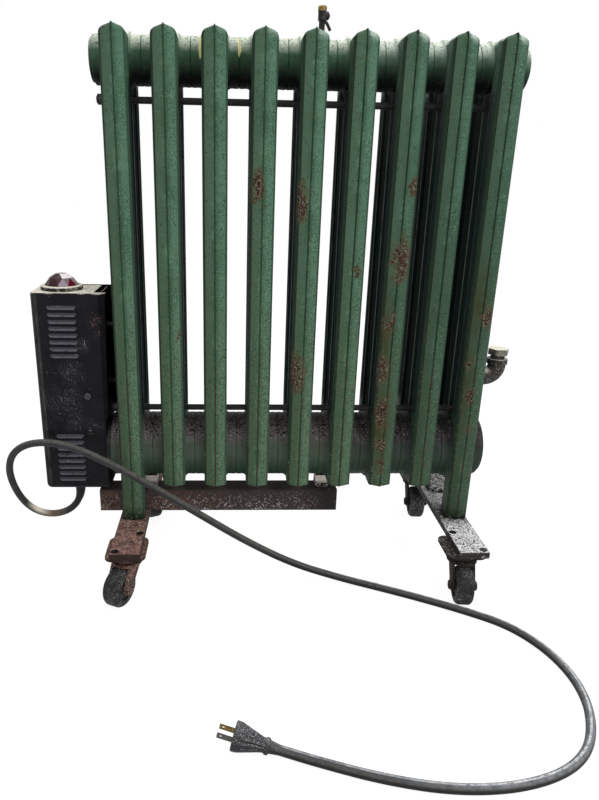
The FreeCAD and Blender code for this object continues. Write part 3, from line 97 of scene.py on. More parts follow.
class RadiatorColours(bpy.types.PropertyGroup):
    """Main colours of the radiator's finishes."""
    paint: colour_property("Paint", "Green paint on the cast sections", "4b6b54")
    paint_dark: colour_property("Dark paint", "Deeper tone of the paint where it is thick", "3b5842")
    paint_light: colour_property("Light paint", "Rubbed and faded paint", "5f8068")
    # Soot between the tubes, which also stands for painted shade there.
    soot_and_shade: colour_property("Soot", "Dark grime between the tubes", "283836")
    rust: colour_property("Rust", "Dry red-brown rust", "3f2a23")
    sheet: colour_property("Box enamel", "Black enamel of the control box", "0d0d11")
    rubber: colour_property("Rubber", "Cord, plug and gland", "252527")
    jewel: colour_property("Jewel", "Glass of the pilot light", "2c050a")
    floor: colour_property("Floor", "Studio floor", "f4f4f4")


class RadiatorSizes(bpy.types.PropertyGroup):
    """Sizes that a user may change."""
    cord_diameter: FloatProperty(name="Cord diameter", description="Outer diameter of the power cord",
                                 default=11.0 * MM, min=0.004, max=0.02, unit="LENGTH")
    floor_width: FloatProperty(name="Floor width", description="Side of the square studio floor",
                               default=12.0, min=4.0, max=40.0, unit="LENGTH")
    light_power: FloatProperty(name="Key light", description="Power of the large studio light",
                               default=34.0, min=1.0, max=400.0, unit="POWER")


def add(tree, kind, sockets=None, stops=None, **settings):
    """Adds a node with its settings; its sockets take plain values, masks or other nodes' outputs."""
    made = tree.nodes.new(kind)
    for name, value in settings.items():
        setattr(made, name, value)
    for key, value in (sockets or {}).items():
        value = getattr(value, "socket", value)
        if isinstance(value, bpy.types.NodeSocket):
            tree.links.new(value, made.inputs[key])
        else:
            made.inputs[key].default_value = value
    for i, (position, code) in enumerate(stops or ()):
        if i >= len(made.color_ramp.elements):
            made.color_ramp.elements.new(position)
        made.color_ramp.elements[i].position = position
        made.color_ramp.elements[i].color = linear(code)
    return made


class Mask:
    """A grey value in a material's tree: * multiplies two, + adds them and | takes the larger."""

    def __init__(self, tree, socket):
        self.tree = tree
        self.socket = socket

    def worked(self, operation, other=0.0):
        sockets = {0: self.socket, 1: other}
        return Mask(self.tree, add(self.tree, "ShaderNodeMath", sockets, operation=operation).outputs[0])

    def __mul__(self, other):
        return self.worked("MULTIPLY", other)

    def __add__(self, other):
        return self.worked("ADD", other)

    def __or__(self, other):
        return self.worked("MAXIMUM", other)

    def ramp(self, low, high, first=0.0, last=1.0):
        """From first at low to last at high, clamped; low may be above high."""
        sockets = {"Value": self.socket, "From Min": low, "From Max": high, "To Min": first, "To Max": last}
        return Mask(self.tree, add(self.tree, "ShaderNodeMapRange", sockets).outputs["Result"])


# Short names of the shader's values that are the same all over a piece.
CONSTANTS = {"specular": "Specular IOR Level", "metallic": "Metallic", "ior": "IOR"}


class Finish:
    """A material under way, with the masks that its colours are laid on through."""

    def __init__(self, name):
        self.material = bpy.data.materials.new(name)
        self.material.use_nodes = True
        self.tree = self.material.node_tree
        self.shader = self.tree.nodes["Principled BSDF"]
        self.coords = add(self.tree, "ShaderNodeTexCoord").outputs["Object"]

    def along(self, vector, axis):
        return Mask(self.tree, add(self.tree, "ShaderNodeSeparateXYZ", {0: vector}).outputs[axis])

    def place(self, axis):
        """Where a point lies along an axis, in metres."""
        return self.along(self.coords, axis)

    def facing(self, axis):
        """How far a face looks along an axis, from -1 to 1."""
        return self.along(add(self.tree, "ShaderNodeNewGeometry").outputs["Normal"], axis)

    def clouds(self, size_mm, detail, roughness=0.5, coords=None):
        """Soft clouds of about size_mm, between 0 and 1."""
        sockets = {"Vector": coords or self.coords, "Scale": 1000 / size_mm, "Detail": detail,
                   "Roughness": roughness}
        return Mask(self.tree, add(self.tree, "ShaderNodeTexNoise", sockets).outputs["Fac"])

    def patches(self, size_mm, low, high, detail=5.0, coords=None):
        """Irregular patches of about size_mm, from 0 outside to 1 inside."""
        return self.clouds(size_mm, detail, 0.6, coords).ramp(low, high)

    def toned(self, stops, *patch):
        """A colour that wanders between tones in patches."""
        return add(self.tree, "ShaderNodeValToRGB", {0: self.patches(*patch)}, stops=stops).outputs[0]

    def wandering(self, size_mm, reach_mm):
        """Coordinates pushed about, so that what is drawn in them has ragged edges."""
        sockets = {"Vector": self.coords, "Scale": 1000 / size_mm, "Detail": 5.0}
        noise = add(self.tree, "ShaderNodeTexNoise", sockets)
        sockets = {0: noise.outputs["Color"], 1: (2 * reach_mm * MM,) * 3, 2: (-reach_mm * MM,) * 3}
        push = add(self.tree, "ShaderNodeVectorMath", sockets, operation="MULTIPLY_ADD").outputs[0]
        return add(self.tree, "ShaderNodeVectorMath", {0: self.coords, 1: push}, operation="ADD").outputs[0]

    def spots(self, places, squash=(1.0, 1.0, 1.0), coords=None):
        """1 in the middle of each place and 0 from its radius on; a small squash makes it long that way."""
        sockets = {0: coords or self.coords, 1: squash}
        squat = add(self.tree, "ShaderNodeVectorMath", sockets, operation="MULTIPLY").outputs[0]
        result = None
        for *place, radius in places:
            middle = [a * b for a, b in zip(place, squash)]
            away = add(self.tree, "ShaderNodeVectorMath", {0: squat, 1: middle}, operation="DISTANCE")
            near = Mask(self.tree, away.outputs["Value"]).ramp(radius * MM, radius * 0.2 * MM)
            result = result | near if result else near
        return result

    def layered(self, base, layers):
        """Colours laid over a base one after the other, each where its mask is 1; text is a hex colour."""
        colour = linear(base) if isinstance(base, str) else base
        for top, mask in layers:
            top = linear(top) if isinstance(top, str) else top
            sockets = {0: mask, 6: colour, 7: top}
            colour = add(self.tree, "ShaderNodeMix", sockets, data_type="RGBA").outputs[2]
        return colour

    def roughened(self, bumps):
        """Bumps of a size, a height in millimetres and a strength, one on the other."""
        normal = None
        for size_mm, height_mm, strength in bumps:
            sockets = {"Height": self.clouds(size_mm, 4.0), "Distance": height_mm * MM, "Strength": strength}
            if normal:
                sockets["Normal"] = normal
            normal = add(self.tree, "ShaderNodeBump", sockets).outputs["Normal"]
        self.tree.links.new(normal, self.shader.inputs["Normal"])

    def painted(self, base, layers=(), bumps=(), roughness=0.5, **constants):
        """The finished material; its roughness is a number or a mask, and the constants are numbers."""
        inputs = self.shader.inputs
        self.tree.links.new(self.layered(base, layers), inputs["Base Color"])
        if bumps:
            self.roughened(bumps)
        if isinstance(roughness, Mask):
            self.tree.links.new(roughness.socket, inputs["Roughness"])
        else:
            inputs["Roughness"].default_value = roughness
        for name, value in constants.items():
            inputs[CONSTANTS[name]].default_value = value
        return self.material


# Rust patches on the front of the sections: place in metres and radius in millimetres.
RUST_SPOTS = (
    (-0.069, -0.060, 0.581, 13), (-0.012, -0.060, 0.562, 15), (-0.010, -0.060, 0.325, 18),
    (0.131, -0.060, 0.487, 19), (0.116, -0.060, 0.330, 13), (0.122, -0.060, 0.262, 14),
    (0.141, -0.060, 0.585, 9), (0.252, -0.060, 0.290, 9), (0.262, -0.060, 0.410, 10),
    (0.070, -0.060, 0.470, 6), (0.243, -0.060, 0.340, 7), (0.125, -0.060, 0.180, 9),
    (-0.1785, -0.060, 0.382, 5), (0.121, -0.060, 0.400, 10), (0.124, -0.060, 0.215, 8),
    (0.256, -0.060, 0.235, 7),
)
# Brown stains below the worst of the rust.
STAINS = (
    (0.112, -0.060, 0.370, 26), (0.120, -0.060, 0.250, 22), (0.238, -0.060, 0.300, 22),
    (0.250, -0.060, 0.430, 18),
)
STAIN_SQUASH = (1.0, 0.5, 0.25)
# Rust runs down the iron, so its patches are taller than they are wide.
RUST_SQUASH = (1.0, 1.0, 0.42)
# The pale flecks in the rust take their pattern from elsewhere, so that they miss its dark pits.
FLECK_SHIFT = (0.31, 0.17, 0.23)
# Runs of cream paint on the upper header.
DRIPS = ((-0.146, 0.0, 0.7525, 2.6), (-0.0955, 0.0, 0.7535, 2.2))
DRIP_SQUASH = (1.0, 0.0, 0.14)


def painted_cast_iron(colours):
    """Brushed green oil paint on sand-cast iron: grainy, mottled, dirty ridges, rust coming through."""
    coat = Finish("painted_cast_iron")
    x = coat.place("X")
    y = coat.place("Y")
    z = coat.place("Z")
    right = coat.facing("X")
    back = coat.facing("Y")
    up = coat.facing("Z")
    mottle = coat.clouds(45, 6.0)
    base = coat.layered(colours.paint_dark, [(colours.paint, mottle.ramp(0.35, 0.68))])
    # How far a point is from the middle of its section, in pitches, and of the depth, in metres.
    cell = (x * (1 / PITCH) + 0.5).worked("FRACT")
    aside = (cell + -0.5).worked("ABSOLUTE")
    depth = y.worked("ABSOLUTE")
    # The two slanting faces of an outer column, their ridge and their edges; the left faces take painted
    # shade and the right faces painted light, as from a lamp on the right.
    outer = depth.ramp(0.052, 0.058)
    shaded_left_face = right.ramp(-0.08, -0.16) * outer
    lit_right_face = right.ramp(0.08, 0.16) * outer
    ridge = aside.ramp(0.022, 0.010) * depth.ramp(0.050, 0.054) * coat.patches(18, 0.15, 0.42)
    left_edge = aside.ramp(0.217, 0.220) * right.ramp(-0.3, -0.5) * outer
    right_edge = aside.ramp(0.217, 0.220) * right.ramp(0.3, 0.5) * outer
    corner = (aside.ramp(0.205, 0.211) * aside.ramp(0.2225, 0.2185) * outer * right.ramp(0.0, -0.1)
              * x.ramp(-0.40, 0.05))
    # Painted shade on the flanks between the columns, soot with painted shade deeper inside, and painted
    # highlights on the seams of the tubes behind.
    between = z.ramp(0.236, 0.262) * z.ramp(0.715, 0.700)
    flank = depth.ramp(0.059, 0.051) * between
    inside = depth.ramp(0.042, 0.030) * between
    seam_highlights = (depth.ramp(0.0341, 0.0345) * depth.ramp(0.0359, 0.0354)
             + depth.ramp(0.0106, 0.0110) * depth.ramp(0.0124, 0.0119))
    # Grain of the casting, crumbs, stains and chips.
    grain = coat.patches(3.0, 0.50, 0.60, 3.0) * coat.patches(60, 0.30, 0.60)
    specks = coat.patches(2.2, 0.63, 0.67, 2.0) * coat.patches(50, 0.30, 0.55)
    at_edges = aside.ramp(0.185, 0.205) | aside.ramp(0.045, 0.025)
    crumbs = coat.patches(1.8, 0.60, 0.65, 2.0) * outer * at_edges * z.ramp(0.45, 0.30)
    stained = coat.spots(STAINS, STAIN_SQUASH) * outer * coat.patches(22, 0.25, 0.55)
    low_dots = coat.patches(2.0, 0.58, 0.62, 2.0) * outer * z.ramp(0.50, 0.35) * coat.patches(45, 0.30, 0.55)
    chips = coat.patches(7, 0.66, 0.70) * coat.patches(90, 0.48, 0.6)
    # Dust on the upper header with painted shade under it, dirt on the lower one, and the legs.
    header = depth.ramp(0.053, 0.051)
    high_dust = up.ramp(0.25, 0.95) * z.ramp(0.6, 0.7) * header
    low_header = z.ramp(0.243, 0.241) * header
    low_dirt = up.ramp(0.30, 0.62) * low_header * coat.patches(14, 0.05, 0.30)
    right_half = x.ramp(0.02, 0.10)
    sooty = up.ramp(-0.15, 0.35) * low_header * right_half * coat.patches(20, 0.25, 0.55)
    under = up.ramp(0.20, -0.65) * header * z.ramp(0.6, 0.7)
    rear_leg = x.ramp(0.22, 0.23) * z.ramp(0.15, 0.13) * y.ramp(0.02, 0.025)
    low_under = up.ramp(0.0, -0.6) * low_header
    # Darker towards the right end: painted shade where the light falls off, deeper on the right faces.
    right_end_shade = x.ramp(0.06, 0.16) * coat.patches(70, 0.0, 0.5) * z.ramp(0.85, 0.50) * 0.42
    # The crowns' right-facing slopes: pale dust with a painted sheen.
    crown_dust_and_sheen = (z.ramp(0.757, 0.765) * outer * right.ramp(0.05, 0.25) * x.ramp(-0.15, 0.10)
             * coat.patches(9, 0.2, 0.5))
    worn_low = z.ramp(0.55, 0.25)
    stipple = outer * coat.patches(80, 0.32, 0.52) * right.ramp(-0.30, 0.15)
    foot = z.ramp(0.112, 0.088) * coat.patches(7, 0.32, 0.52)
    low_ridge = aside.ramp(0.026, 0.010) * outer * z.ramp(0.37, 0.31) * coat.patches(11, 0.36, 0.54) * 0.85
    layers = [
        (colours.paint_light, coat.patches(22, 0.52, 0.75)),
        # Painted shade on the left faces and painted light on the right ones; low down both are also worn,
        # and the right ones show grain.
        ("4e6352", shaded_left_face * 0.75),
        ("495740", shaded_left_face * worn_low * 0.75),
        ("608573", lit_right_face * coat.patches(60, 0.2, 0.7) * 0.8),
        ("62725a", lit_right_face * worn_low * 0.80),
        ("4a6b57", lit_right_face * grain * 0.6),
        # Painted shade towards the right end, deeper on its right faces.
        ("22332a", right_end_shade),
        ("22332a", right_end_shade * lit_right_face * 0.8),
        ("38563f", stipple * coat.patches(1.7, 0.52, 0.58, 2.0)),
        ("8aa895", stipple * coat.patches(1.5, 0.62, 0.66, 2.0) * 0.7),
        ("233427", left_edge * 0.9),
        ("33493c", right_edge * coat.patches(14, 0.1, 0.4) * 0.9),
        ("141d17", corner),
        ("1d2b22", specks),
        ("39371f", stained * 0.8),
        ("2a3d2c", low_dots * 0.85),
        ("98a78f", crumbs * coat.patches(30, 0.42, 0.62) * 0.7),
        ("1b2a21", ridge * 0.75),
        ("1a271f", ridge * x.ramp(-0.05, 0.08) * 0.8),
        ("4a2f22", low_ridge),
        # Painted shade on the flanks, soot and painted shade inside, painted highlights on the tubes' seams.
        ("24362f", flank),
        (colours.soot_and_shade, inside),
        ("98a5a0", seam_highlights * between * coat.patches(24, 0.2, 0.45)),
        # Painted shade under the upper header.
        ("141b17", under),
        ("465249", low_header * 0.85),
        ("494438", low_header * coat.patches(18, 0.40, 0.65) * 0.5),
        ("27402d", low_under * 0.8),
        ("2b3a30", low_header * right_half * 0.6),
        ("6e6866", low_dirt),
        ("302e30", sooty * 0.9),
        ("171413", low_dirt * coat.patches(3.0, 0.49, 0.55, 5.0) * coat.patches(11, 0.28, 0.50)),
        ("9a9693", low_dirt * coat.patches(2.8, 0.60, 0.66)),
        ("e6e3e3", rear_leg * back.ramp(-0.1, -0.4) * coat.patches(30, 0.2, 0.5)),
        ("221f1d", rear_leg * back.ramp(-0.1, -0.4) * coat.patches(2.6, 0.50, 0.56)),
        # A pale bluish painted sheen, with dust, on the right part of the upper header, reaching down its
        # sides.
        ("b7c8c2", up.ramp(-0.15, 0.85) * z.ramp(0.6, 0.7) * header * x.ramp(0.03, 0.12)
         * coat.patches(9, 0.2, 0.5) * 0.6),
        ("e2e9d9", high_dust * coat.patches(5, 0.15, 0.50)),
        ("35473c", high_dust * coat.patches(3.2, 0.54, 0.62)),
        # Pale dust and painted sheen on the crowns.
        ("c3d2c9", crown_dust_and_sheen * 0.7),
        ("15170f", foot),
        (colours.rust, chips),
    ]
    ragged = coat.wandering(16, 14)
    sockets = {0: coat.coords, 1: FLECK_SHIFT}
    flecks = add(coat.tree, "ShaderNodeVectorMath", sockets, operation="ADD").outputs[0]
    bloom = coat.spots(RUST_SPOTS, RUST_SQUASH, coords=ragged) * coat.patches(16, 0.26, 0.50)
    grains = coat.clouds(5, 6.0)
    eaten = bloom + grains
    runs = coat.spots(DRIPS, DRIP_SQUASH, coords=coat.wandering(9, 1.2))
    layers += [
        ("4f4a33", eaten.ramp(0.56, 0.92) * 0.8),
        (colours.rust, eaten.ramp(0.80, 1.05) * coat.patches(4.0, 0.46, 0.54)),
        ("3d251f", eaten.ramp(1.10, 1.30) * coat.patches(8, 0.50, 0.58)),
        ("231714", eaten.ramp(0.80, 1.10) * coat.patches(2.4, 0.53, 0.60)),
        ("77736a", eaten.ramp(0.80, 1.0) * coat.patches(2.6, 0.55, 0.61, coords=flecks)),
        ("d6cf9a", runs.ramp(0.1, 0.3) * y.ramp(0.0, -0.004)),
    ]
    rough = mottle.ramp(0.0, 1.0, 0.42, 0.62) | flank
    return coat.painted(base, layers, ((2.6, 1.1, 0.8), (16, 1.2, 0.35)), rough, specular=0.05)


def bare_cast_iron():
    """Unpainted cast iron gone dark with heat: near-black, matt, coarse; pale dust on the fill plug."""
    coat = Finish("bare_cast_iron")
    x = coat.place("X")
    z = coat.place("Z")
    up = coat.facing("Z")
    base = coat.toned(((0.0, "100f0d"), (0.55, "25231f"), (1.0, "4a463c")), 8, 0.3, 0.7)
    outside = x.ramp(0.275, 0.285)
    ledge = up.ramp(0.5, 0.9) * outside
    layers = [
        ("8b897c", outside * z.ramp(0.3395, 0.3405) * coat.patches(4, 0.30, 0.60)),
        ("76746a", outside * coat.patches(3, 0.56, 0.64)),
        ("d0cdc2", ledge * coat.patches(6, 0.2, 0.5)),
        ("fbf8e6", ledge * z.ramp(0.335, 0.340)),
    ]
    return coat.painted(base, layers, bumps=((1.8, 0.5, 0.8),), roughness=0.62, specular=0.3)


def rusty_steel():
    """Rolled steel rusted all over: red-brown scale, dark pits, pale bloom, painted shade on upright faces;
    black grease at the right end.
    """
    coat = Finish("rusted_steel")
    x = coat.place("X")
    z = coat.place("Z")
    up = coat.facing("Z")
    tones = ((0.0, "35261f"), (0.35, "614840"), (0.7, "805f55"), (1.0, "9c7b6e"))
    base = coat.toned(tones, 11, 0.28, 0.72, 8.0)
    greasy = x.ramp(0.0, 0.05)
    low = z.ramp(0.070, 0.062)
    rail = z.ramp(0.0866, 0.0872)
    # Darker patches on the upright faces above the plates: painted shade.
    edges = z.ramp(0.072, 0.073) * up.ramp(0.7, 0.3) * coat.patches(6, 0.2, 0.4)
    layers = [
        ("201612", coat.patches(3.2, 0.58, 0.65, 3.0)),
        ("2a1f1b", low * coat.patches(14, 0.35, 0.6) * 0.8),
        ("8c4326", low * coat.patches(9, 0.60, 0.68)),
        ("d3beb4", coat.patches(1.9, 0.59, 0.64, 3.0) * coat.patches(26, 0.28, 0.50)),
        ("2b1f1b", edges),
        ("3a3331", rail * coat.patches(14, 0.10, 0.45) * 0.9),
        ("5a3f36", rail * x.ramp(-0.08, -0.22) * coat.patches(10, 0.40, 0.62)),
        ("544b46", rail * up.ramp(0.6, 0.9) * coat.patches(8, 0.25, 0.5)),
        ("b5adaa", rail * coat.patches(2.4, 0.56, 0.62) * coat.patches(34, 0.3, 0.6) * z.ramp(0.122, 0.098)),
        ("1c1918", greasy * coat.patches(14, 0.15, 0.4) * 0.92),
        ("7a7774", greasy * up.ramp(0.4, 0.9) * coat.patches(3.4, 0.52, 0.60)),
    ]
    return coat.painted(base, layers, bumps=((2.2, 0.8, 0.9), (9, 1.0, 0.5)), roughness=0.85, specular=0.25)


# Where the right bar's middle is black with dirt and the blocks are dark towards their feet: an axis, where
# that starts, where it is full.
BAR_GRIME = (("Y", -0.090, -0.060), ("Y", 0.0, -0.030))
BLOCK_DARK_FEET = (("Z", 0.134, 0.128),)


def dusty_steel(name, side, dark_ranges):
    """Pale dust on old painted steel, speckled black; its sides have their own colour, and it is blackened
    within the given ranges.
    """
    coat = Finish(name)
    up = coat.facing("Z")
    base = coat.toned(((0.0, "d2cfd1"), (0.5, "efedef"), (1.0, "ffffff")), 14, 0.3, 0.7, 7.0)
    blackened = coat.patches(3, 0.36, 0.52)
    for axis, low, high in dark_ranges:
        blackened *= coat.place(axis).ramp(low, high)
    layers = [
        ("1c1a19", coat.patches(1.9, 0.50, 0.56, 3.0) * coat.patches(30, 0.0, 0.35)),
        ("6b4433", coat.patches(7, 0.60, 0.66) * coat.patches(40, 0.45, 0.6)),
        (side, up.ramp(0.7, 0.4) * coat.patches(5, 0.25, 0.45)),
        ("1c1a19", blackened),
    ]
    return coat.painted(base, layers, bumps=((2.5, 0.6, 0.7),), roughness=0.8, specular=0.25)


def dark_steel():
    """Blackened mild steel, a little oily: dark with a soft sheen and brown haze."""
    coat = Finish("blackened_steel")
    base = coat.toned(((0.0, "141515"), (0.6, "262626"), (1.0, "403732")), 10, 0.35, 0.7)
    return coat.painted(base, bumps=((3, 0.2, 0.5),), metallic=0.7, roughness=0.5)


# The control box: its front face, its left side, and where its enamel is rubbed or rusty.
BOX_FRONT = -38.5 * MM
BOX_LEFT = -389.75 * MM
RUBBED = ((-0.352, -0.0385, 0.275, 34), (-0.338, -0.0385, 0.315, 24), (-0.335, -0.0385, 0.238, 22),
          (-0.310, -0.0385, 0.232, 16), (-0.318, -0.0385, 0.360, 14))
BOX_RUST = ((-0.3005, -0.0385, 0.395, 14), (-0.298, -0.0385, 0.378, 10))


def black_enamel(colours):
    """Black stoving enamel on sheet steel: half gloss, chalky scratches, grey louvres, rust at worn spots."""
    coat = Finish("black_enamelled_sheet")
    x = coat.place("X")
    y = coat.place("Y")
    z = coat.place("Z")
    up = coat.facing("Z")
    base = coat.layered(colours.sheet, [("19191c", coat.patches(30, 0.35, 0.7))])
    sockets = {"Vector": coat.coords, "Rotation": (0.0, math.radians(32), 0.0), "Scale": (1.0, 1.0, 0.12)}
    slanted = add(coat.tree, "ShaderNodeMapping", sockets).outputs[0]
    rubbed = coat.spots(RUBBED, coords=coat.wandering(30, 14)) * coat.patches(16, 0.3, 0.6)
    chalk = coat.patches(3.0, 0.47, 0.64, 7.0)
    raised = y.ramp(BOX_FRONT - 0.1 * MM, BOX_FRONT - 0.4 * MM)
    hoods = raised * x.ramp(-0.321, -0.323)
    screw = raised * x.ramp(-0.323, -0.321) * z.ramp(0.24, 0.26)
    row = add(coat.tree, "ShaderNodeMapping", {"Vector": coat.coords, "Scale": (0.4, 0.0, 1.0)}).outputs[0]
    left_edge = x.ramp(BOX_LEFT + 11 * MM, BOX_LEFT + 8 * MM)
    # A painted highlight along the rounding of the box's left edge.
    rounding_highlight = left_edge * x.ramp(BOX_LEFT + 6 * MM, BOX_LEFT + 7.5 * MM)
    worn = coat.spots(BOX_RUST, coords=coat.wandering(14, 8))
    layers = [
        ("2a2a28", left_edge * coat.patches(20, 0.3, 0.6)),
        ("6a6a6c", rounding_highlight * coat.patches(30, 0.45, 0.65) * 0.4),
        ("55555b", rubbed * chalk),
        ("8b8b92", coat.patches(1.8, 0.68, 0.72, 2.0, coords=slanted) * rubbed),
        ("55555a", coat.patches(4, 0.66, 0.70) * coat.patches(40, 0.42, 0.6)),
        # Grey louvre hoods, their upward slopes painted darker than their lips: painted shade.
        ("5c5c64", hoods * coat.patches(7, 0.0, 0.4)),
        ("3f3f46", hoods * up.ramp(0.2, 0.5) * coat.patches(7, 0.0, 0.4)),
        ("1a1a1d", hoods * coat.patches(5, 0.58, 0.66)),
        ("8a7f72", hoods * coat.patches(9, 0.60, 0.66, coords=row) * coat.patches(4, 0.48, 0.58)),
        ("434348", screw),
        ("8f877a", up.ramp(0.75, 0.95) * coat.patches(6, 0.25, 0.5)),
        ("56403d", worn * coat.patches(3.6, 0.53, 0.60)),
        ("857d7c", worn * coat.patches(2.6, 0.62, 0.67)),
    ]
    # The wall beside the first section is dull; with a gloss it would mirror the floor.
    rough = z.ramp(0.13, 0.43, 0.5, 0.42) | x.ramp(-0.2950, -0.2935)
    return coat.painted(base, layers, ((4, 0.15, 0.4), (40, 0.8, 0.3)), rough, specular=0.1)


def dusty_sheet():
    """Black enamelled plate under a crust of cream dust."""
    coat = Finish("dust_on_black_enamel")
    up = coat.facing("Z")
    layers = [
        ("8b816f", coat.patches(5, 0.56, 0.64)),
        ("4f4638", coat.patches(2.6, 0.64, 0.69)),
        ("232222", up.ramp(0.6, 0.3) * coat.patches(12, 0.2, 0.5)),
    ]
    return coat.painted("e4dfd0", layers, bumps=((2, 0.4, 0.8),), roughness=0.9, specular=0.25)


def tarnished_brass():
    """Brass left in the damp: brown-gold, dull, dark in the hollows; one of the plug's blades is grey."""
    coat = Finish("tarnished_brass")
    y = coat.place("Y")
    greyed = y.ramp(-0.4172, -0.4182)
    base = coat.toned(((0.0, "352b1c"), (0.5, "766239"), (1.0, "a5925c")), 5, 0.3, 0.7)
    return coat.painted(base, [("55534f", greyed)], bumps=((2, 0.25, 0.6),), metallic=0.8, roughness=0.48)


def jewel_glass(colours):
    """Pressed ruby glass: deep red and nearly black, with painted highlights in lighter red, white and rose
    on the facets turned to the light.
    """
    coat = Finish("pressed_ruby_glass")
    right = coat.facing("X")
    up = coat.facing("Z")
    rightward = right.ramp(0.02, 0.06)
    layers = [
        ("36090f", coat.patches(9, 0.45, 0.60)),
        ("6b152a", rightward * up.ramp(0.55, 0.50)),
        ("f4eef0", rightward * up.ramp(0.60, 0.65) * up.ramp(0.98, 0.95)),
        ("9d8d99", rightward * right.ramp(0.35, 0.30) * up.ramp(0.65, 0.60)),
    ]
    return coat.painted(colours.jewel, layers, ior=1.52, specular=0.15, roughness=0.04)


def moulded_phenolic():
    """Pressed brown phenolic: dark, glossy, with a faint marbling."""
    coat = Finish("moulded_phenolic")
    base = coat.toned(((0.0, "2a1710"), (1.0, "4d2d1e")), 9, 0.3, 0.7)
    return coat.painted(base, roughness=0.3)


def wheel_rubber():
    """Hard vulcanised rubber, worn grey on the tread and full of grit."""
    coat = Finish("hard_vulcanised_rubber")
    base = coat.toned(((0.0, "111111"), (0.6, "232323"), (1.0, "3c3b39")), 7, 0.3, 0.7)
    grit = coat.patches(2.2, 0.50, 0.60, 3.0) * coat.patches(24, 0.42, 0.60)
    bumps = ((1.8, 0.5, 0.8), (8, 0.8, 0.4))
    return coat.painted(base, [("757472", grit)], bumps, roughness=0.78, specular=0.25)


# Where the cord's jacket is bleached, browned and still black, and the chalky plug on its end.
BLEACHED = ((-0.418, -0.006, 0.076, 24),)
BROWNED = ((-0.396, -0.003, 0.066, 30),)
BLACKENED = ((-0.348, 0.0, 0.105, 46),)
PLUG_DUST = ((-0.088, -0.422, 0.015, 48),)


def cord_rubber(colours):
    """Rubber jacket gone grey: dull black, with painted highlights where it faces the light and painted shade
    below, bleached in the loop, chalky at the plug.
    """
    coat = Finish("chalky_cord_rubber")
    x = coat.place("X")
    y = coat.place("Y")
    z = coat.place("Z")
    right = coat.facing("X")
    back = coat.facing("Y")
    up = coat.facing("Z")
    lying = z.ramp(0.06, 0.03)
    # How squarely a face looks at the light, which hangs above and a little behind.
    lit = right * 0.05 + back * 0.17 + up * 0.98
    bend = lying * x.ramp(0.06, 0.18) * y.ramp(-0.25, -0.33)
    chalky = coat.spots(PLUG_DUST)
    layers = [
        ("363639", coat.patches(12, 0.4, 0.75)),
        ("18181a", coat.patches(4, 0.58, 0.72)),
        # Painted light: paler upper faces in patches, painted highlights where the cord faces the light,
        # brightest in the bend, and painted shade on its underside.
        ("5f5d57", up.ramp(0.2, 0.9) * coat.patches(4, 0.25, 0.60)),
        ("414347", lying * lit.ramp(0.45, 0.90)),
        ("7d7f83", bend * lit.ramp(0.35, 0.80) * coat.patches(9, 0.30, 0.60)),
        ("b9bbbe", lying * lit.ramp(0.92, 0.99) * coat.patches(12, 0.30, 0.60)),
        ("e4e6e7", bend * lit.ramp(0.93, 0.99) * coat.patches(4, 0.42, 0.58)),
        ("070708", lying * lit.ramp(0.45, -0.10)),
        ("6e5f4c", coat.spots(BROWNED) * coat.patches(10, 0.2, 0.5)),
        ("eee4d2", coat.spots(BLEACHED) * up.ramp(-0.3, 0.5)),
        ("0f0f10", coat.spots(BLACKENED)),
        ("2c2c2f", chalky * coat.patches(5, 0.25, 0.5)),
        ("b6b6b9", chalky * up.ramp(0.0, 0.8) * coat.patches(1.4, 0.52, 0.64)),
    ]
    return coat.painted(colours.rubber, layers, bumps=((1.5, 0.15, 0.6),), roughness=0.6, specular=0.25)


def drawn_sheath():
    """Drawn steel tube of the heating element, blue-brown from heat."""
    coat = Finish("heat_tinted_tube")
    base = coat.toned(((0.0, "5d5148"), (0.6, "847c74"), (1.0, "6f6a72")), 25, 0.3, 0.7)
    return coat.painted(base, metallic=0.9, roughness=0.4)


def dress(finish, *names):
    """Gives CAD nodes a finish."""
    for name in names:
        for material_slot in NODES[name].material_slots:
            material_slot.material = finish


def settle(piece, body, finish):
    """Puts a finished piece into the scene on its body."""
    bpy.context.scene.collection.objects.link(piece)
    piece.data.materials.append(finish)
    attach(piece, body)
    return piece


def as_piece(name, form):
    """Turns a bmesh into an object with smooth faces whose flats stay flat."""
    bmesh.ops.remove_doubles(form, verts=form.verts, dist=WELD)
    bmesh.ops.recalc_face_normals(form, faces=form.faces)
    for face in form.faces:
        face.smooth = True
    mesh = bpy.data.meshes.new(name)
    form.to_mesh(mesh)
    form.free()
    piece = bpy.data.objects.new(name, mesh)
    piece.modifiers.new("flat_faces", "WEIGHTED_NORMAL")
    return piece


def soften(form, width_mm, angle):
    """Rounds every edge that is sharper than the angle, in degrees."""
    sharp = [e for e in form.edges if len(e.link_faces) == 2 and e.calc_face_angle() > math.radians(angle)]
    bmesh.ops.bevel(form, geom=sharp, offset=width_mm * MM, offset_type="OFFSET", affect="EDGES",
                    segments=2, profile=0.5, material=-1, clamp_overlap=True)


def block(form, corners, travel):
    """A closed block: a face through the corners, drawn out along the travel."""
    base = form.faces.new([form.verts.new(corner) for corner in corners])
    drawn = bmesh.ops.extrude_face_region(form, geom=[base])["geom"]
    bmesh.ops.translate(form, verts=[v for v in drawn if isinstance(v, bmesh.types.BMVert)], vec=travel)
    bmesh.ops.recalc_face_normals(form, faces=form.faces)


def pour(part, form):
    """Moves a finished closed shape into the form it belongs to."""
    joined = bpy.data.meshes.new("joined")
    part.to_mesh(joined)
    part.free()
    form.from_mesh(joined)
    bpy.data.meshes.remove(joined)


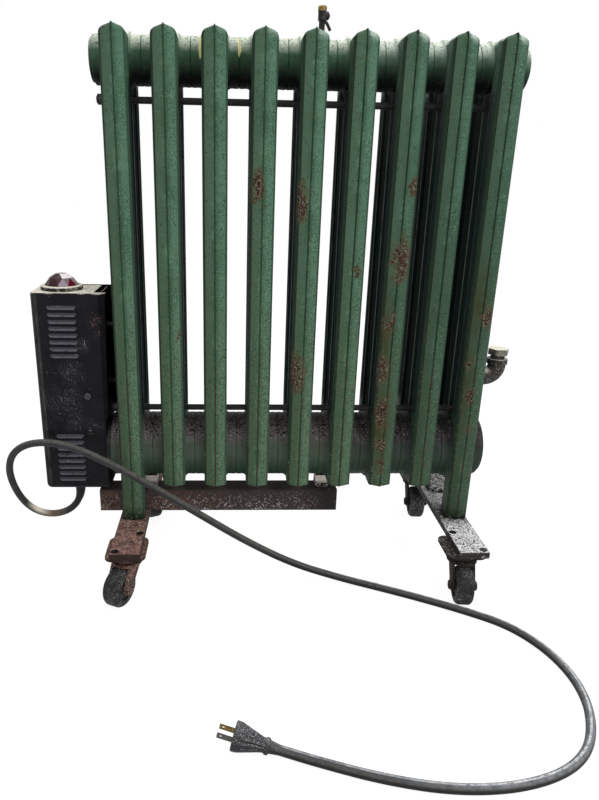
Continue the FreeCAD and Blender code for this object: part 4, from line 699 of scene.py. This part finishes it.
def column(form, outline, low, high, planes):
    """A closed upright bar of the given plan, trimmed by planes, with its sharp edges rounded."""
    part = bmesh.new()
    block(part, [(x * MM, y * MM, low) for x, y in outline], (0.0, 0.0, high - low))
    for point, normal in planes:
        geometry = list(part.verts) + list(part.edges) + list(part.faces)
        cut = bmesh.ops.bisect_plane(part, geom=geometry, plane_co=point, plane_no=normal, clear_outer=True)
        rim = [e for e in cut["geom_cut"] if isinstance(e, bmesh.types.BMEdge)]
        if rim:
            bmesh.ops.holes_fill(part, edges=rim)
    bmesh.ops.recalc_face_normals(part, faces=part.faces)
    soften(part, EDGE_ROUND, SHARP_ANGLE)
    pour(part, form)


def turned(form, profile, start, axis, steps):
    """A closed turned shape: profile pairs are (distance along the axis, radius), in millimetres."""
    part = bmesh.new()
    verts = [part.verts.new((r * MM, 0.0, s * MM)) for s, r in profile]
    edges = [part.edges.new(pair) for pair in zip(verts, verts[1:])]
    bmesh.ops.spin(part, geom=verts + edges, cent=(0, 0, 0), axis=(0, 0, 1), angle=2 * math.pi, steps=steps,
                   use_merge=True, use_duplicate=False)
    bmesh.ops.remove_doubles(part, verts=part.verts, dist=WELD)
    bmesh.ops.holes_fill(part, edges=[e for e in part.edges if e.is_boundary])
    turn = Vector(axis).to_track_quat("Z", "Y").to_matrix().to_4x4()
    bmesh.ops.transform(part, matrix=Matrix.Translation(start) @ turn, verts=part.verts)
    bmesh.ops.recalc_face_normals(part, faces=part.faces)
    pour(part, form)


# Plan of the three tubes of a section, in millimetres; the front one has a ridge down its middle.
FRONT_TUBE = ((0, -62.5), (13.8, -59.63), (16.75, -56.63), (16.75, -35.0), (12.25, -30.5),
              (-12.25, -30.5), (-16.75, -35.0), (-16.75, -56.63), (-13.8, -59.63))
MIDDLE_TUBE = ((16.75, -11.5), (16.75, 11.5), (12.25, 16.0), (-12.25, 16.0),
               (-16.75, 11.5), (-16.75, -11.5), (-12.25, -16.0), (12.25, -16.0))
REAR_TUBE = tuple((x, -y) for x, y in reversed(FRONT_TUBE))
FILLER = ((16.5, -37.0), (16.5, -9.5), (-16.5, -9.5), (-16.5, -37.0))
# Slopes of a section's pointed top and keeled foot over its half width, and the lean of its front faces.
TOP_FALL = 5.6
FOOT_RISE = 2.0
FACE_LEAN = 2.87 / 13.8
# Radii, in millimetres, where the top meets the flanks and the face, and where the foot does.
TOP_ROUND = 12.0
CROWN_ROUND = 9.0
KEEL_ROUND = 3.0
TOE_ROUND = 5.0
# The mould's flash line, in millimetres: how far it stands out, its breadth, its corner, and how far it goes
# into the face and the top; its edges sharper than the angle are rounded.
FLASH_RISE = 0.35
FLASH_BREADTH = 1.6
FLASH_CORNER = 5.0
FLASH_IN_FACE = 8.0
FLASH_IN_TOP = 10.0
FLASH_SHARP_ANGLE = 60
# A keeled section's flash line starts above its foot; the blocks between the tubes lie below their tops.
FLASH_LIFT = 1.5 * MM
FILLER_SUNK = 0.2 * MM
# Radii of the two headers, and their form from a joint inwards: distance, and what the radius gains there.
HEADERS = ((UPPER_AXIS, 31.0), (LOWER_AXIS, 49.5))
HEADER_END = ((0.0, -3.0), (0.05, -1.2), (0.5, -0.4), (1.3, 0.0), (6.0, 0.0), (6.8, -0.05), (7.6, -0.25),
              (9.0, -0.3), (11.5, -0.1), (13.2, 0.7), (14.4, 1.7), (15.2, 3.0), (18.0, 3.0))
HEADER_STEPS = 96
# The boss under the air cock: its section, its place right of the middle, and its profile.
COCK_SECTION = 5
COCK_ASIDE = 13 * MM
COCK_BOSS = ((0, 6.5), (30.2, 6.5), (31.0, 5.7), (31.0, 0.0))
BOSS_STEPS = 32


def rounding(first, second, radius_mm, steps):
    """Planes that round the edge between two planes, each given as a point on it and its outward normal."""
    (place_a, a), (place_b, b) = first, second
    radius = radius_mm * MM
    reach_a, reach_b, share = place_a.dot(a) - radius, place_b.dot(b) - radius, a.dot(b)
    centre = (a * (reach_a - share * reach_b) + b * (reach_b - share * reach_a)) / (1 - share * share)
    normals = [a.slerp(b, (i + 1) / (steps + 1)) for i in range(steps)]
    return [(centre + normal * radius, normal) for normal in normals]


def trimming(end, footed):
    """Planes that shape a tube's top and foot; end is -1 at the front, 1 at the rear and 0 in the middle."""
    planes = []
    # Each side has a sloping top, a keel below, a flat flank and a slanting face.
    for side in (-1, 1):
        slope = (Vector((0, 0, COLUMN_TOP)), Vector((side * TOP_FALL * MM, 0, HALF_WIDTH)).normalized())
        keel = (Vector((0, 0, COLUMN_BOTTOM)), Vector((side * FOOT_RISE * MM, 0, -HALF_WIDTH)).normalized())
        flank = (Vector((side * HALF_WIDTH, 0, 0)), Vector((side, 0, 0)))
        face = (Vector((0, end * HALF_DEPTH, 0)), Vector((side * FACE_LEAN, end, 0)).normalized())
        planes += [slope] + rounding(slope, flank, TOP_ROUND, 6)
        if end:
            planes += rounding(face, slope, CROWN_ROUND, 6)
        if not footed:
            planes += [keel] + rounding(keel, flank, KEEL_ROUND, 3)
            if end:
                planes += rounding(face, keel, TOE_ROUND, 5)
    return planes


def seam_bead(form, low):
    """The thin flash line left by the mould, up the front ridge, over the top and down the rear ridge."""
    part = bmesh.new()
    front = HALF_DEPTH / MM + FLASH_RISE
    top = COLUMN_TOP / MM + FLASH_RISE
    middle = (front - FLASH_CORNER, top - FLASH_CORNER)
    half = [(front, low / MM)]
    for degrees in range(0, 91, 15):
        turn = math.radians(degrees)
        half.append((middle[0] + FLASH_CORNER * math.cos(turn), middle[1] + FLASH_CORNER * math.sin(turn)))
    inner = [(front - FLASH_IN_FACE, top - FLASH_IN_TOP), (front - FLASH_IN_FACE, low / MM)]
    outline = half + [(-y, z) for y, z in reversed(half)]
    outline += [(-y, z) for y, z in reversed(inner)] + inner
    corners = [(-FLASH_BREADTH / 2 * MM, y * MM, z * MM) for y, z in outline]
    block(part, corners, (FLASH_BREADTH * MM, 0.0, 0.0))
    soften(part, FLASH_RISE, FLASH_SHARP_ANGLE)
    pour(part, form)


def cast_section(number):
    """One section: three tubes, the blocks between them, its part of the two headers and the flash line."""
    form = bmesh.new()
    legged = number in (1, SECTIONS)
    low = BAR_TOP if legged else COLUMN_BOTTOM
    column(form, FRONT_TUBE, low, COLUMN_TOP, trimming(-1, legged))
    column(form, MIDDLE_TUBE, COLUMN_BOTTOM, COLUMN_TOP, trimming(0, False))
    column(form, REAR_TUBE, low, COLUMN_TOP, trimming(1, legged))
    sunk = [(place - normal * FILLER_SUNK, normal) for place, normal in trimming(0, False)]
    for side in (1, -1):
        plan = [(x, side * y) for x, y in FILLER]
        column(form, plan, UPPER_AXIS, COLUMN_TOP, sunk)
        column(form, plan, COLUMN_BOTTOM, LOWER_AXIS, sunk)
    seam_bead(form, low if legged else low + FLASH_LIFT)
    for level, radius in HEADERS:
        end = ((0.0, 0.0), *((along, radius + gain) for along, gain in HEADER_END))
        profile = end + tuple((PITCH / MM - along, reach) for along, reach in reversed(end))
        turned(form, profile, Vector((-PITCH / 2, 0.0, level)), (1, 0, 0), HEADER_STEPS)
    if number == COCK_SECTION:
        turned(form, COCK_BOSS, Vector((COCK_ASIDE, 0, UPPER_AXIS)), (0, 0, 1), BOSS_STEPS)
    centre = (number - (SECTIONS + 1) / 2) * PITCH
    bmesh.ops.translate(form, verts=form.verts, vec=(centre, 0.0, 0.0))
    return as_piece("cast_section_%d" % number, form)


# Camera fitted to the photograph: place in metres, turn in degrees, lens and sensor in millimetres.
CAMERA_PLACE = (-0.1095, -0.9952, 0.5997)
CAMERA_TURN = (70.893, -1.0413, -2.2621)
CAMERA_LENS = 30.206
CAMERA_SENSOR = 36.0
CAMERA_SHIFT = (0.0541, 0.0065)
# The studio: what the lamps look at, the floor's brightness to the eye, the world as light and as backdrop.
LAMP_AIM = Vector((0.0, 0.0, 0.35))
FLOOR_GLOW = 0.92
WORLD_LIGHT = 0.45
WORLD_SEEN = 1.0
WHITE = (1.0, 1.0, 1.0, 1.0)


def seen(tree):
    """1 for rays that show a surface, straight or by a mirror or glass; 0 for those that only carry light."""
    path = add(tree, "ShaderNodeLightPath")
    straight = Mask(tree, path.outputs["Is Camera Ray"])
    return straight | path.outputs["Is Glossy Ray"] | path.outputs["Is Transmission Ray"]


class RADIATOR_OT_stage(bpy.types.Operator):
    """Camera at the photograph's viewpoint, pale floor and soft studio light"""
    bl_idname = "radiator.stage"
    bl_label = "Stage"

    def execute(self, context):
        sizes, colours = context.scene.radiator_sizes, context.scene.radiator_colours
        scene = context.scene
        camera = bpy.data.cameras.new("camera")
        camera.sensor_fit = "VERTICAL"
        camera.sensor_height = CAMERA_SENSOR
        camera.lens = CAMERA_LENS
        camera.shift_x, camera.shift_y = CAMERA_SHIFT
        eye = bpy.data.objects.new("camera", camera)
        eye.rotation_euler = [math.radians(angle) for angle in CAMERA_TURN]
        eye.location = CAMERA_PLACE
        scene.collection.objects.link(eye)
        scene.camera = eye

        form = bmesh.new()
        bmesh.ops.create_grid(form, x_segments=1, y_segments=1, size=sizes.floor_width / 2)
        mesh = bpy.data.meshes.new("floor")
        form.to_mesh(mesh)
        form.free()
        floor = bpy.data.objects.new("floor", mesh)
        scene.collection.objects.link(floor)
        paper = Finish("floor_paper")
        shown = seen(paper.tree)
        inputs = paper.shader.inputs
        paper.tree.links.new((shown * FLOOR_GLOW).socket, inputs["Emission Strength"])
        inputs["Emission Color"].default_value = WHITE
        layers = [("ececec", paper.patches(400, 0.4, 0.7)), ("757575", shown)]
        mesh.materials.append(paper.painted(colours.floor, layers, roughness=1.0, specular=0.0))

        world = bpy.data.worlds.new("studio")
        scene.world = world
        world.use_nodes = True
        background = world.node_tree.nodes["Background"]
        background.inputs["Color"].default_value = WHITE
        strength = seen(world.node_tree).ramp(0.0, 1.0, WORLD_LIGHT, WORLD_SEEN)
        world.node_tree.links.new(strength.socket, background.inputs["Strength"])

        lamps = (
            ("key", (1.7, -1.6, 2.0), 1.4, sizes.light_power),
            ("fill", (-1.9, -1.6, 1.5), 2.0, sizes.light_power * 0.2),
            ("overhead", (0.0, -0.2, 2.8), 2.0, sizes.light_power * 0.8),
            ("back", (0.4, 2.2, 2.2), 2.0, sizes.light_power * 0.25),
        )
        for name, place, width, power in lamps:
            light = bpy.data.lights.new(name, "AREA")
            light.energy = power
            light.size = width
            lamp = bpy.data.objects.new(name, light)
            aim = LAMP_AIM - Vector(place)
            lamp.rotation_euler = aim.to_track_quat("-Z", "Y").to_euler()
            lamp.location = place
            scene.collection.objects.link(lamp)
        scene.view_settings.view_transform = "Standard"
        return {"FINISHED"}


# Plug from its collar to its face: distance along it and radius, in millimetres.
PLUG_PROFILE = (
    (-13.0, 4.9), (-12.6, 5.3), (-8.0, 5.9), (-3.0, 6.6), (-0.4, 6.9), (0.0, 8.0), (0.7, 8.8), (1.6, 9.1),
    (3.8, 9.1), (4.7, 8.7), (5.1, 7.9), (6.5, 7.8), (9.0, 8.3), (12.0, 9.1), (16.0, 10.3), (20.0, 11.5),
    (24.0, 12.7), (28.0, 13.9), (31.5, 14.9), (33.5, 15.5), (36.0, 15.9), (39.2, 16.0), (40.4, 15.5),
    (41.0, 14.4), (41.0, 11.0), (41.0, 0.0),
)
PLUG_FLUTES = 12
# The flutes: where they start and end along the plug, over what lengths they fade, and their depth.
FLUTE_START = 6.0
FLUTE_END = 34.5
FLUTE_FADES = (4.0, 3.0)
FLUTE_DEPTH = 2.2 * MM
PLUG_HEADING = Vector((-19.0, 4.5, 3.7)).normalized()


def plug_moulding():
    """Rubber plug: ringed neck, fluted cone and a rounded face."""
    form = bmesh.new()
    start = Vector(CORD_ROUTE[-1])
    turned(form, PLUG_PROFILE, start, PLUG_HEADING, PLUG_FLUTES * 6)
    side = PLUG_HEADING.cross(Vector((0, 0, 1))).normalized()
    broad = PLUG_HEADING.cross(side)
    for vert in form.verts:
        arm = vert.co - start
        along = arm.dot(PLUG_HEADING) / MM
        out = arm - PLUG_HEADING * arm.dot(PLUG_HEADING)
        if not FLUTE_START < along < FLUTE_END or out.length == 0.0:
            continue
        turn = math.atan2(out.dot(broad), out.dot(side)) * PLUG_FLUTES
        groove = max(0.0, math.cos(turn)) ** 3
        fade = min(1.0, (along - FLUTE_START) / FLUTE_FADES[0], (FLUTE_END - along) / FLUTE_FADES[1])
        vert.co -= out.normalized() * (groove * fade * FLUTE_DEPTH)
    return as_piece("plug_moulding", form)


# Outer radius of the sleeve at its root and its tip, over that of the cord.
SLEEVE_ROOT = 1.5
SLEEVE_TIP = 1.08


def swept(name, places, radii, depth):
    """A round curve through control points, with its thickness at each point as a share of the depth."""
    curve = bpy.data.curves.new(name, "CURVE")
    curve.dimensions = "3D"
    spline = curve.splines.new("NURBS")
    spline.points.add(len(places) - 1)
    for point, place, radius in zip(spline.points, places, radii):
        point.co = (*place, 1.0)
        point.radius = radius
    spline.order_u = 3
    spline.use_endpoint_u = True
    spline.resolution_u = 8
    curve.bevel_depth = depth
    curve.bevel_resolution = 5
    curve.use_fill_caps = True
    return bpy.data.objects.new(name, curve)


def cord_sleeve(diameter):
    """Tapered rubber sleeve that keeps the cord from kinking under the gland."""
    first, second, third = [Vector(place) for place in CORD_ROUTE[:3]]
    places = (first, second, (second + third) / 2)
    radii = (SLEEVE_ROOT, (SLEEVE_ROOT + SLEEVE_TIP) / 2, SLEEVE_TIP)
    return swept("cord_sleeve", places, radii, diameter / 2)


class RADIATOR_OT_cord(bpy.types.Operator):
    """Power cord from the box's gland to the plug, one smooth curve"""
    bl_idname = "radiator.cord"
    bl_label = "Power cord"

    def execute(self, context):
        sizes = context.scene.radiator_sizes
        cord = swept("power_cord_jacket", CORD_ROUTE, [1.0] * len(CORD_ROUTE), sizes.cord_diameter / 2)
        rubber = cord_rubber(context.scene.radiator_colours)
        settle(cord, FIXED, rubber)
        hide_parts("power_cord")
        dress(rubber, "cord_gland")
        settle(cord_sleeve(sizes.cord_diameter), FIXED, rubber)
        plug = settle(plug_moulding(), FIXED, rubber)
        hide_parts("plug_body")
        return {"FINISHED"}


class RADIATOR_OT_castings(bpy.types.Operator):
    """Paints the cast sections and the plugs in their headers"""
    bl_idname = "radiator.castings"
    bl_label = "Cast sections"

    def execute(self, context):
        paint = painted_cast_iron(context.scene.radiator_colours)
        for number in range(1, SECTIONS + 1):
            section = settle(cast_section(number), FIXED, paint)
            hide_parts("section_%d" % number)
        dress(paint, "upper_end_plugs", "lower_end_plug")
        iron = bare_cast_iron()
        dress(iron, "upper_push_nipples", "lower_push_nipples", "fill_nipple", "fill_elbow", "fill_plug")
        return {"FINISHED"}


class RADIATOR_OT_fittings(bpy.types.Operator):
    """Finishes the rods, bolts, air cock and heating element"""
    bl_idname = "radiator.fittings"
    bl_label = "Rods and fittings"

    def execute(self, context):
        dress(dark_steel(), "upper_tie_rod", "lower_tie_rod", "rail_bolts", "leg_bolts", "caster_bolts",
              "caster_king_pins", "heater_head", "heater_lock_nut", "box_studs", "air_cock_body",
              "air_cock_key", "tie_rod_nuts")
        dress(tarnished_brass(), "air_cock_cap", "plug_blades")
        dress(drawn_sheath(), "heater_element")
        return {"FINISHED"}


class RADIATOR_OT_running_gear(bpy.types.Operator):
    """Finishes the rail, foot bars and casters"""
    bl_idname = "radiator.running_gear"
    bl_label = "Rail, bars and casters"

    def execute(self, context):
        rust = rusty_steel()
        forks = ["caster_%s_%s" % (kind, corner) for kind in ("fork", "axle") for corner in CORNERS]
        dress(rust, "support_rail", "left_foot_bar", "caster_plates", *forks)
        dress(dusty_steel("dusty_painted_steel", "2b2624", BAR_GRIME), "right_foot_bar")
        dress(dusty_steel("chalky_painted_steel", "f3e6dc", BLOCK_DARK_FEET), "rail_blocks")
        dress(wheel_rubber(), *["caster_wheel_" + corner for corner in CORNERS])
        return {"FINISHED"}


class RADIATOR_OT_control_box(bpy.types.Operator):
    """Finishes the control box, its pilot light and what is inside"""
    bl_idname = "radiator.control_box"
    bl_label = "Control box"

    def execute(self, context):
        colours = context.scene.radiator_colours
        dress(black_enamel(colours), "control_cover", "control_chassis", "cover_screws")
        dress(dusty_sheet(), "control_top", "jewel_bezel")
        dress(jewel_glass(colours), "pilot_jewel")
        dress(moulded_phenolic(), "pilot_lamp", "pressure_switch", "terminal_block")
        return {"FINISHED"}


class RADIATOR_PT_panel(bpy.types.Panel):
    bl_idname = "RADIATOR_PT_panel"
    bl_label = "Electric Steam Radiator"
    bl_space_type = "VIEW_3D"
    bl_region_type = "UI"
    bl_category = "Radiator"

    def draw(self, context):
        for step in STEPS:
            self.layout.operator(step.bl_idname)
        for group in (context.scene.radiator_sizes, context.scene.radiator_colours):
            for name in group.__annotations__:
                self.layout.prop(group, name)


STEPS = (
    RADIATOR_OT_stage,
    RADIATOR_OT_cord,
    RADIATOR_OT_castings,
    RADIATOR_OT_fittings,
    RADIATOR_OT_running_gear,
    RADIATOR_OT_control_box,
)
CLASSES = (RadiatorColours, RadiatorSizes, *STEPS, RADIATOR_PT_panel)


def register():
    for cls in CLASSES:
        bpy.utils.register_class(cls)
    bpy.types.Scene.radiator_colours = PointerProperty(type=RadiatorColours)
    bpy.types.Scene.radiator_sizes = PointerProperty(type=RadiatorSizes)


def unregister():
    del bpy.types.Scene.radiator_sizes
    del bpy.types.Scene.radiator_colours
    for cls in reversed(CLASSES):
        bpy.utils.unregister_class(cls)


def main():
    register()
    for step in STEPS:
        group, name = step.bl_idname.split(".")
        getattr(getattr(bpy.ops, group), name)()


if __name__ == "__main__":
    main()
